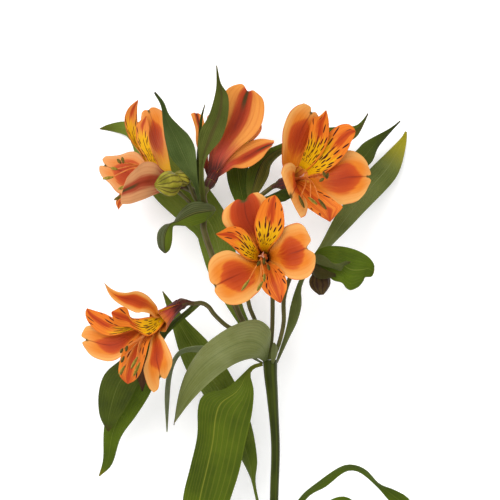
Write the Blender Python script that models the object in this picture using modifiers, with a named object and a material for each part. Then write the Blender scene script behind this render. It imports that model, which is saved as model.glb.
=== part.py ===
"""Alstroemeria stem, cut and laid on its back on a flat surface.

The stem lies along Y with its flowers at +Y, and its front faces up, along +Z. Lengths below are in
millimetres from the whorl, the joint where the flower stalks and the leaves of the top whorl begin.
Every leaf and petal is one thin curved blade: a grid laid over its outline, given its thickness.
"""

import math

import bmesh
import bpy
from mathutils import Matrix, Vector

MM = 0.001

# Driving sizes, in millimetres
LEAF_THICKNESS = 0.7
PETAL_THICKNESS = 0.65
RAY_RADIUS = 1.15
SEAT_GAP = 0.3
STEM_LENGTH_BELOW_WHORL = 240
# The whorl's place over the middle of the part's footprint. The tips of two long leaves and the cut end of
# the stem reach down to the surface and carry it.
WHORL = (8.9, 38.1, 41.9)

PARTS = "alstroemeria_stem"

# Colours of the materials, as linear red, green and blue
COLOURS = {
    "green": (0.115, 0.205, 0.025),
    "dark": (0.060, 0.115, 0.030),
    "pale": (0.270, 0.330, 0.150),
    "olive": (0.130, 0.160, 0.035),
    "stem": (0.100, 0.170, 0.025),
    "stalk": (0.150, 0.105, 0.055),
    "petal": (0.860, 0.235, 0.035),
    "anther": (0.190, 0.170, 0.035),
    "bud": (0.260, 0.310, 0.040),
    "withered": (0.110, 0.055, 0.030),
}
ROUGHNESS = 0.5


def clear_scene():
    for item in list(bpy.data.objects):
        bpy.data.objects.remove(item, do_unlink=True)


def parts_collection():
    collection = bpy.data.collections.new(PARTS)
    bpy.context.scene.collection.children.link(collection)
    return collection


def principled(name, colour):
    material = bpy.data.materials.new(name)
    material.use_nodes = True
    shader = material.node_tree.nodes["Principled BSDF"]
    shader.inputs["Base Color"].default_value = (*colour, 1.0)
    shader.inputs["Roughness"].default_value = ROUGHNESS
    shader.inputs["Metallic"].default_value = 0.0
    return material


def smooth_point(points, place):
    """The point of a smooth curve through the given points, with place running from 0 to 1."""
    last = len(points) - 1
    at = min(max(place, 0.0), 1.0) * last
    i = min(int(at), last - 1)
    u = at - i
    a, b = points[i], points[i + 1]
    before = points[i - 1] if i > 0 else a - (b - a)
    after = points[i + 2] if i + 2 <= last else b + (b - a)
    return 0.5 * (
        2 * a
        + (b - before) * u
        + (2 * before - 5 * a + 4 * b - after) * u**2
        + (3 * a - before - 3 * b + after) * u**3
    )


def even_line(points, steps=48):
    """Points evenly spaced along the smooth curve through the given points."""
    fine = [smooth_point(points, i / 240) for i in range(241)]
    reach = [0.0]
    for a, b in zip(fine, fine[1:]):
        reach.append(reach[-1] + (b - a).length)
    line = []
    j = 0
    for i in range(steps + 1):
        want = reach[-1] * i / steps
        while j < len(reach) - 2 and reach[j + 1] < want:
            j += 1
        share = (want - reach[j]) / max(reach[j + 1] - reach[j], 1e-9)
        line.append(fine[j].lerp(fine[j + 1], share))
    return line


def along(line, place):
    """The point at a share of the length of an evenly spaced line."""
    at = min(max(place, 0.0), 1.0) * (len(line) - 1)
    i = min(int(at), len(line) - 2)
    return line[i].lerp(line[i + 1], at - i)


def vectors(points):
    return [Vector(p) for p in points]


def blade_mesh(name, place, across, length_steps):
    """An open grid laid over a blade and split into triangles, so both faces get the same ones."""
    bm = bmesh.new()
    bmesh.ops.create_grid(bm, x_segments=across, y_segments=length_steps, size=1.0)
    for vert in bm.verts:
        vert.co = place((vert.co.y + 1) / 2, vert.co.x) * MM
    bmesh.ops.triangulate(bm, faces=bm.faces)
    mesh = bpy.data.meshes.new(name)
    bm.to_mesh(mesh)
    bm.free()
    return mesh


def blade_object(name, place, across, length_steps, thickness):
    """A blade with its thickness to both sides of the grid."""
    blade = bpy.data.objects.new(name, blade_mesh(name, place, across, length_steps))
    skin = blade.modifiers.new("thickness", "SOLIDIFY")
    skin.thickness = thickness * MM
    skin.offset = 0.0
    return blade


def finish(piece, material, collection):
    piece.data.transform(Matrix.Translation(Vector(WHORL) * MM))
    piece.data.materials.clear()
    piece.data.materials.append(material)
    piece.data.shade_smooth()
    piece.data.set_sharp_from_angle(angle=math.radians(50))
    if piece.name not in collection.objects:
        collection.objects.link(piece)
    return piece


def evaluated_mesh(piece, name):
    """The mesh of a piece with its modifiers, or its curve's tube, made real."""
    bpy.context.view_layer.update()
    graph = bpy.context.evaluated_depsgraph_get()
    mesh = bpy.data.meshes.new_from_object(piece.evaluated_get(graph))
    mesh.name = name
    bm = bmesh.new()
    bm.from_mesh(mesh)
    bmesh.ops.remove_doubles(bm, verts=bm.verts, dist=0.00001)
    bmesh.ops.triangulate(bm, faces=bm.faces)
    bm.to_mesh(mesh)
    bm.free()
    return mesh


def made_real(piece, scratch):
    """Replaces a piece by a plain mesh object of the same shape, in the scratch collection."""
    name = piece.name
    scratch.objects.link(piece)
    solid = bpy.data.objects.new(name + "_solid", evaluated_mesh(piece, name))
    solid.matrix_world = piece.matrix_world.copy()
    bpy.data.objects.remove(piece, do_unlink=True)
    scratch.objects.link(solid)
    return solid


def fused(name, pieces, material, collection):
    """One body from pieces that run into each other, joined by one Boolean union."""
    scratch = bpy.data.collections.new(name + "_pieces")
    bpy.context.scene.collection.children.link(scratch)
    solids = [made_real(piece, scratch) for piece in pieces]
    body = solids[0]
    scratch.objects.unlink(body)
    bpy.context.scene.collection.objects.link(body)
    if len(solids) > 1:
        union = body.modifiers.new("union", "BOOLEAN")
        union.operation = "UNION"
        union.operand_type = "COLLECTION"
        union.collection = scratch
        union.solver = "MANIFOLD"
    mesh = evaluated_mesh(body, name)
    for solid in solids:
        bpy.data.objects.remove(solid, do_unlink=True)
    bpy.data.collections.remove(scratch)
    return finish(bpy.data.objects.new(name, mesh), material, collection)


def tube(name, points, radii, steps, sides=6, shares=None):
    """A round stalk along a smooth curve, its radius following the listed ones from end to end."""
    curve = bpy.data.curves.new(name, "CURVE")
    curve.dimensions = "3D"
    curve.bevel_depth = MM
    curve.bevel_resolution = (sides - 4) // 2
    curve.use_fill_caps = True
    shares = shares or [i / steps for i in range(steps + 1)]
    spline = curve.splines.new("POLY")
    spline.points.add(len(shares) - 1)
    line = even_line(vectors(points))
    sizes = vectors([(radius, 0, 0) for radius in radii])
    for point, share in zip(spline.points, shares):
        point.co = (*(along(line, share) * MM), 1.0)
        point.radius = smooth_point(sizes, share).x
    return bpy.data.objects.new(name, curve)


# Leaves and bracts: each is the surface between its two edges, listed from its foot to its tip. bow lifts
# the middle off the line between the edges, crease makes that lift a fold, and shift moves the midrib.
def leaf_place(left, right, bow=0.0, shift=0.0, crease=2.0, wave=0.0, ripples=2.5):
    left_line = even_line(vectors(left))
    right_line = even_line(vectors(right))

    def place(s, t):
        a, b = along(left_line, s), along(right_line, s)
        ahead = along(left_line, s + 0.03) + along(right_line, s + 0.03)
        behind = along(left_line, s - 0.03) + along(right_line, s - 0.03)
        normal = (b - a).cross(ahead - behind).normalized()
        swell = math.sin(math.pi * s) ** 0.7
        middle = 1 - abs(t) ** crease
        point = (a + b) / 2 + (b - a) * (t / 2 + shift * 0.5 * swell * middle)
        point += normal * bow * swell * middle
        return point + normal * wave * math.sin(2 * math.pi * ripples * s) * swell * abs(t) ** 3

    return place


LEAVES = {
    "leaf_front": dict(
        left=[(-3.5, 2, 3.9), (-7.5, 4, 9), (-15.5, 2.5, 15), (-23.5, -1.5, 19), (-33.5, -9.5, 20),
              (-44, -20.5, 16), (-53, -32.5, 9)],
        right=[(-1.5, 3, 4.2), (0, 12, 8), (0, 20, 12), (-6.5, 25, 14), (-15, 24, 15), (-25.5, 19, 16),
               (-37, 10, 15), (-45, -1.5, 14), (-50, -15.5, 12), (-52.5, -33, 9)],
        bow=3.0, steps=(4, 10), colour="pale"),
    "leaf_broad": dict(
        left=[(-4, -0.5, 1.5), (-9, -2, 7), (-11, -5.5, 11), (-9, -14, 12), (-10, -27.5, 9),
              (-14, -44.5, 3), (-18.5, -64, -4), (-27.5, -89, -13), (-40.5, -110.5, -22)],
        right=[(-4.5, 1.5, 2), (-10, 0, 9), (-15, -4.5, 14), (-24, -12.5, 18), (-36, -16, 17),
               (-39.5, -23.5, 13), (-40, -38.5, 8), (-44, -56.5, 0), (-48, -74, -7), (-48, -92, -14),
               (-41.5, -111, -22)],
        bow=-2.0, shift=0.3, crease=1.4, wave=0.8, steps=(4, 11), colour="green"),
    "leaf_rising": dict(
        left=[(-1, -100, -19.2), (-7.5, -76, -17), (-10, -64.5, -16), (-16.5, -51, -16),
              (-27.5, -31.5, -17), (-39.5, -12.5, -18), (-46, -3.5, -18), (-50.5, 8, -17),
              (-54, 21, -15), (-59.5, 40.5, -12)],
        right=[(0, -99.5, -19.2), (-6, -76, -17), (-8, -64, -15), (-7, -52.5, -13), (-10, -34, -12),
               (-16.5, -15.5, -12), (-25, 0, -13), (-34, 12.5, -14), (-46.5, 25, -14), (-54, 34.5, -13),
               (-59, 40.5, -12)],
        bow=2.0, steps=(3, 11), colour="green"),
    "leaf_narrow": dict(
        left=[(-4, 1.5, -2.2), (-19, 10, -4), (-36, 10.5, -3), (-44, 10, -3), (-50.5, 7.5, -3),
              (-54.5, 1, -4), (-57, -7, -5), (-58, -19, -6), (-57, -37, -7)],
        right=[(-4, 0.5, -3), (-19, 7, -9), (-36, 6.5, -11), (-44, 7, -12), (-49, 5.5, -11.5),
               (-52.5, 0, -11.5), (-54.5, -8, -11), (-55.5, -20.5, -10), (-56.5, -37, -7.5)],
        bow=0.6, steps=(2, 10), colour="pale"),
    "leaf_back_left": dict(
        left=[(-2, 1.5, -4.8), (-15, 19, -11), (-25, 34, -16), (-33.5, 49.5, -19), (-38.5, 64.5, -22),
              (-40.5, 71, -24), (-48, 77.5, -26), (-64.5, 93, -30), (-72.5, 108.5, -34),
              (-78, 125, -38), (-86.5, 129, -41), (-94.5, 130.5, -41.6)],
        right=[(-0.5, 2, -4.8), (-10, 20.5, -11), (-15.5, 34, -16), (-18, 48.5, -18), (-19, 63.5, -20),
               (-22, 78.5, -22), (-30.5, 93, -24), (-44, 110, -28), (-58, 125, -33), (-69, 133.5, -37),
               (-80.5, 135, -40), (-89.5, 133.5, -41.4), (-95, 131, -41.6)],
        bow=1.5, steps=(3, 11), colour="dark"),
    "leaf_back_right": dict(
        left=[(3.2, 2, -3.4), (8, 16.5, -7), (10, 25, -9), (11.5, 33, -11), (15, 44, -14), (21, 56.5, -17),
              (27.5, 65.5, -19), (36.5, 82.5, -22), (45, 94.5, -26), (52.5, 105, -30), (63.5, 116, -35),
              (73, 125.5, -40), (75.5, 129.5, -41.6)],
        right=[(4.2, 1, -3.2), (11, 15.5, -8), (15, 23.5, -10), (17.5, 33, -12), (17.5, 43, -16),
               (23, 53.5, -19), (35, 66.5, -22), (44, 75.5, -24), (53, 85, -27), (68, 100.5, -32),
               (73, 109.5, -35), (76, 122, -40), (76.5, 129, -41.6)],
        bow=1.2, steps=(3, 12), colour="olive"),
    "leaf_right": dict(
        left=[(-7.7, 90, -4.7), (11, 99, -13), (30.5, 110, -17), (46, 117, -19), (52.5, 123, -20),
              (66, 130.5, -22), (72, 135, -24)],
        right=[(-7.8, 89, -4.7), (12, 92, -14), (33, 99, -19), (48.5, 106, -22), (56.5, 112, -22),
               (60, 120, -22), (67, 128.5, -23), (72.5, 134.5, -24)],
        bow=1.0, steps=(3, 8), colour="green"),
    "leaf_olive": dict(
        left=[(-11.8, 88.9, -4.4), (-13, 96, -6.5), (-13, 102, -8), (-11.5, 109, -10), (-4.5, 117, -11),
              (6, 122, -12),
              (22, 129, -13), (38.5, 131.5, -14), (47, 132, -15), (51.5, 135.5, -16), (54, 139, -17)],
        right=[(-10.4, 88.6, -4.9), (-9, 92, -6.5), (-6, 95, -8), (-1, 103.5, -10), (1.5, 111.5, -12),
               (11, 118.5, -13),
               (27.5, 121, -15), (41, 122.5, -16), (47.5, 125.5, -17), (51, 131, -17),
               (54.5, 138.5, -17)],
        bow=0.8, wave=0.6, steps=(3, 9), colour="olive"),
    "leaf_dark": dict(
        left=[(-12.6, 82, -5.5), (-17.5, 87, -9), (-22, 96.5, -12), (-24, 106, -14), (-23, 115.5, -16),
              (-19, 125, -18)],
        right=[(-11.6, 82.5, -5.5), (-10.5, 89.5, -11), (-11, 99.5, -14), (-12, 109, -16),
               (-15, 118.5, -17), (-18.5, 125, -18)],
        bow=1.0, steps=(3, 6), colour="dark"),
    "leaf_hanging_back": dict(
        left=[(-38.2, 33.0, 2.7), (-41, 29.5, -0.5), (-44, 26, -2), (-50.5, 20.5, -4), (-56, 12, -7),
              (-60, 3, -10),
              (-62, -6.5, -12), (-67, -17.5, -15), (-74, -28.5, -17), (-82.5, -40.5, -21),
              (-87.5, -55.5, -26), (-94.5, -62.5, -29)],
        right=[(-39.6, 34.0, 2.3), (-43, 31.8, -0.5), (-48.5, 28.5, -2), (-55, 22, -4), (-61.5, 15, -7),
               (-70, 7, -10),
               (-78, -1.5, -12), (-85, -11, -15), (-89.5, -22, -17), (-92, -37, -20), (-92.5, -52.5, -25),
               (-95, -62, -29)],
        bow=1.5, wave=0.5, steps=(4, 9), colour="green"),
    "leaf_hanging_front": dict(
        left=[(-40.9, 34.2, 3.4), (-43.5, 29.5, 2.4), (-52.5, 19, 1), (-62, 7, -1), (-69, -4, -4),
              (-75, -15, -6),
              (-81.5, -27, -9), (-89, -37, -12)],
        right=[(-42.2, 34.6, 3.4), (-45, 31.2, 2.4), (-55, 23.5, 1), (-67, 15, -1), (-82, 3, -4),
               (-91, -5, -6),
               (-94.5, -16, -8), (-94, -28, -11), (-90, -36.5, -12)],
        bow=1.5, steps=(3, 7), colour="dark"),
    "leaf_low_right": dict(
        left=[(5.2, -99.5, -19.5), (10, -85, -16), (17, -73, -13), (25.5, -65.5, -10), (37.5, -57, -8),
              (45, -55, -7), (53, -58, -7.5), (60, -65.5, -9), (69.5, -69.5, -11), (77.5, -75, -13),
              (85.5, -90, -17)],
        right=[(5.2, -101, -20.3), (12, -87.5, -18), (21, -73.5, -16), (31, -67.5, -14),
               (39.5, -60.5, -12), (45, -58.5, -12), (51, -60.5, -12), (59.5, -68, -13),
               (66.5, -76, -14), (76, -84.5, -16), (85, -91, -17)],
        bow=-0.8, steps=(3, 11), colour="green"),
    "leaf_low_back": dict(
        left=[(4.2, -124.5, -25), (13.5, -100.5, -21), (26.5, -80.5, -18), (39.5, -73, -17),
              (49.5, -79, -18), (58, -96.5, -22), (63.5, -115.5, -27)],
        right=[(4.2, -126, -25.8), (17.5, -106.5, -24), (28.5, -90, -23), (39.5, -82, -22),
               (45.5, -87.5, -22), (52.5, -100.5, -24), (63, -116, -27)],
        bow=0.8, steps=(3, 8), colour="green"),
    "bract_top": dict(
        left=[(-35.9, 87.2, 8.6), (-37.5, 89.5, 13.0), (-38.4, 96, 15.8), (-38.8, 104, 15.6),
              (-39, 113, 13.5), (-39.5, 120.5, 13.5), (-38.5, 128, 14), (-34, 136, 15.5),
              (-31.5, 143, 17), (-29.5, 152.5, 19), (-29.5, 164, 23)],
        right=[(-34.4, 87.2, 8.4), (-35.4, 89.5, 13.4), (-35.8, 96, 16.2), (-36.3, 104, 15.8),
               (-36, 110.5, 14.8), (-33, 116.5, 14.5), (-26.5, 124.5, 17), (-23, 136.5, 19),
               (-23, 147.5, 20), (-27, 154.5, 21.5), (-29, 164, 23)],
        bow=-1.5, crease=1.4, steps=(4, 10), colour="green"),
    "bract_left": dict(
        left=[(-38.4, 86.6, 8.2), (-39.8, 91, 12.4), (-42.5, 100, 16), (-49.5, 108, 19),
              (-54.5, 114, 21), (-57, 122, 21), (-58.5, 132, 23), (-59.5, 141.5, 24.5), (-63.5, 149, 26)],
        right=[(-37, 87.4, 8.6), (-38.4, 92, 13), (-39.8, 104, 16), (-41, 118.5, 16), (-44.5, 126, 17),
               (-49.5, 131, 19.5), (-55, 137, 22), (-58, 144, 24.5), (-62.5, 149.5, 26)],
        bow=-1.2, crease=1.4, steps=(4, 8), colour="dark"),
    "bract_thin": dict(
        left=[(-37.2, 88, 3.2), (-38.5, 96, 1.5), (-40.5, 107.5, 4.5), (-39.5, 124, 10), (-38.4, 135, 11),
              (-36, 143, 10)],
        right=[(-36.2, 88.4, 3), (-37, 96, 1.5), (-38.8, 107.5, 4.5), (-37.6, 124, 10), (-37, 135, 11),
               (-35.5, 143, 10)],
        steps=(2, 6), colour="dark"),
    "bract_curled": dict(
        left=[(-32.4, 84.4, 5.5), (-31.5, 82.5, 9.5), (-36.5, 78.5, 12.5), (-44, 76.5, 15),
              (-50.5, 76.5, 15), (-53.5, 75, 14), (-53.5, 68, 12), (-55, 63.5, 10), (-57, 61.5, 9.5)],
        right=[(-32.4, 86.4, 5.8), (-31, 87.5, 10), (-36, 89.5, 12.3), (-44, 90.5, 13), (-50, 88.5, 13),
               (-56, 83.5, 13.5), (-60.5, 78, 12.5), (-62, 71, 11), (-61, 65, 10), (-58, 61.5, 9.5)],
        bow=3.0, crease=1.3, steps=(4, 10), colour="dark"),
    "bract_right_large": dict(
        left=[(22.9, 59.3, 9.2), (27.5, 64, 10), (35, 65.5, 11), (45, 64.5, 12), (54, 60, 12),
              (57.5, 54.5, 11)],
        right=[(23.1, 58, 8.7), (27.5, 53.5, 11), (34, 47, 13), (39.5, 45, 14), (44.5, 41, 13),
               (52.5, 46, 12), (57, 53, 11)],
        bow=-1.0, wave=0.5, steps=(4, 7), colour="green"),
    "bract_right_small": dict(
        left=[(21.7, 59.5, 10.7), (30.5, 61, 16), (38.5, 59.5, 17), (43.5, 57, 17)],
        right=[(21.9, 57.9, 10.7), (29, 55.5, 16), (36.5, 52.5, 17.5), (43.5, 56, 17)],
        bow=0.8, steps=(2, 5), colour="pale"),
    "bract_right_under": dict(
        left=[(23.3, 57.3, 7.4), (28.5, 56, 7.5), (33, 53.5, 8), (37, 50, 7.5)],
        right=[(23.5, 56.5, 7.2), (28, 51.5, 7), (32.5, 47.5, 7.5), (36.5, 49, 7.5)],
        bow=0.8, steps=(2, 5), colour="dark"),
    "bract_pink": dict(
        left=[(-5.5, 92.2, -0.6), (2, 93.5, 2.8), (7.5, 94.5, 3), (11.5, 93, 4)],
        right=[(-5.5, 90.8, -0.9), (3, 89.5, 2.2), (8, 90, 3), (11.5, 92, 4)],
        bow=0.5, steps=(2, 5), colour="dark"),
    "bract_withered": dict(
        left=[(-59, 11, 1.3), (-65, -0.5, -0.7), (-67.5, -7, -2.2), (-70, -14.5, -3.7)],
        right=[(-60.5, 11.5, 1.3), (-69.5, 1.5, -0.7), (-73.5, -4, -2.2), (-70.5, -14.5, -3.7)],
        bow=0.8, steps=(2, 5), colour="withered"),
    "sheath": dict(
        left=[(0.8, 1, 4.6), (0.4, 6, 5.0), (1, 10.5, 5.6), (2, 12.5, 5.8)],
        right=[(2, 1, 4.2), (4, 6, 4.4), (4, 10, 5), (2.5, 12.5, 5.8)],
        bow=0.5, steps=(2, 5), colour="pale"),
}

# Petals: six spring from a ring round the foot of a bloom. Each is the surface between its two edges, as a
# leaf is, and dished to its inner side. A broad one ends in two lobes with a notch between them, pulled in
# by notch over a share of its width called spread, and a narrow one ends in a point.
PETAL_STEPS = {"broad": (4, 8), "narrow": (3, 7)}
FOOT_RING = 2.4
FOOT_HALF_WIDTH = 1.1
LOBE_ROUNDING = 1.5
LOBE_LENGTH = 5


def petal_place(foot, axis, kind, left, right, notch=0.0, spread=0.25, bow=-1.2):
    left, right = vectors(left), vectors(right)
    out = (left[0] + right[0]) / 2 - foot
    out = (out - axis * out.dot(axis)).normalized()
    side = axis.cross(out) * FOOT_HALF_WIDTH
    left_line = even_line([foot + out * FOOT_RING + side] + left)
    right_line = even_line([foot + out * FOOT_RING - side] + right)
    rounding = 0.0 if left[-1] == right[-1] else LOBE_ROUNDING

    def place(s, t):
        a, b = along(left_line, s), along(right_line, s)
        ahead = along(left_line, s + 0.03) + along(right_line, s + 0.03)
        ahead = (ahead - along(left_line, s - 0.03) - along(right_line, s - 0.03)).normalized()
        across = 1 - t * t
        point = (a + b) / 2 + (b - a) * t / 2
        point += (b - a).cross(ahead).normalized() * bow * math.sin(math.pi * min(s * 1.1, 1)) * across
        lobe = rounding * across - notch * math.exp(-((t / spread) ** 2))
        return point + ahead * lobe * s**LOBE_LENGTH

    return place


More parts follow.
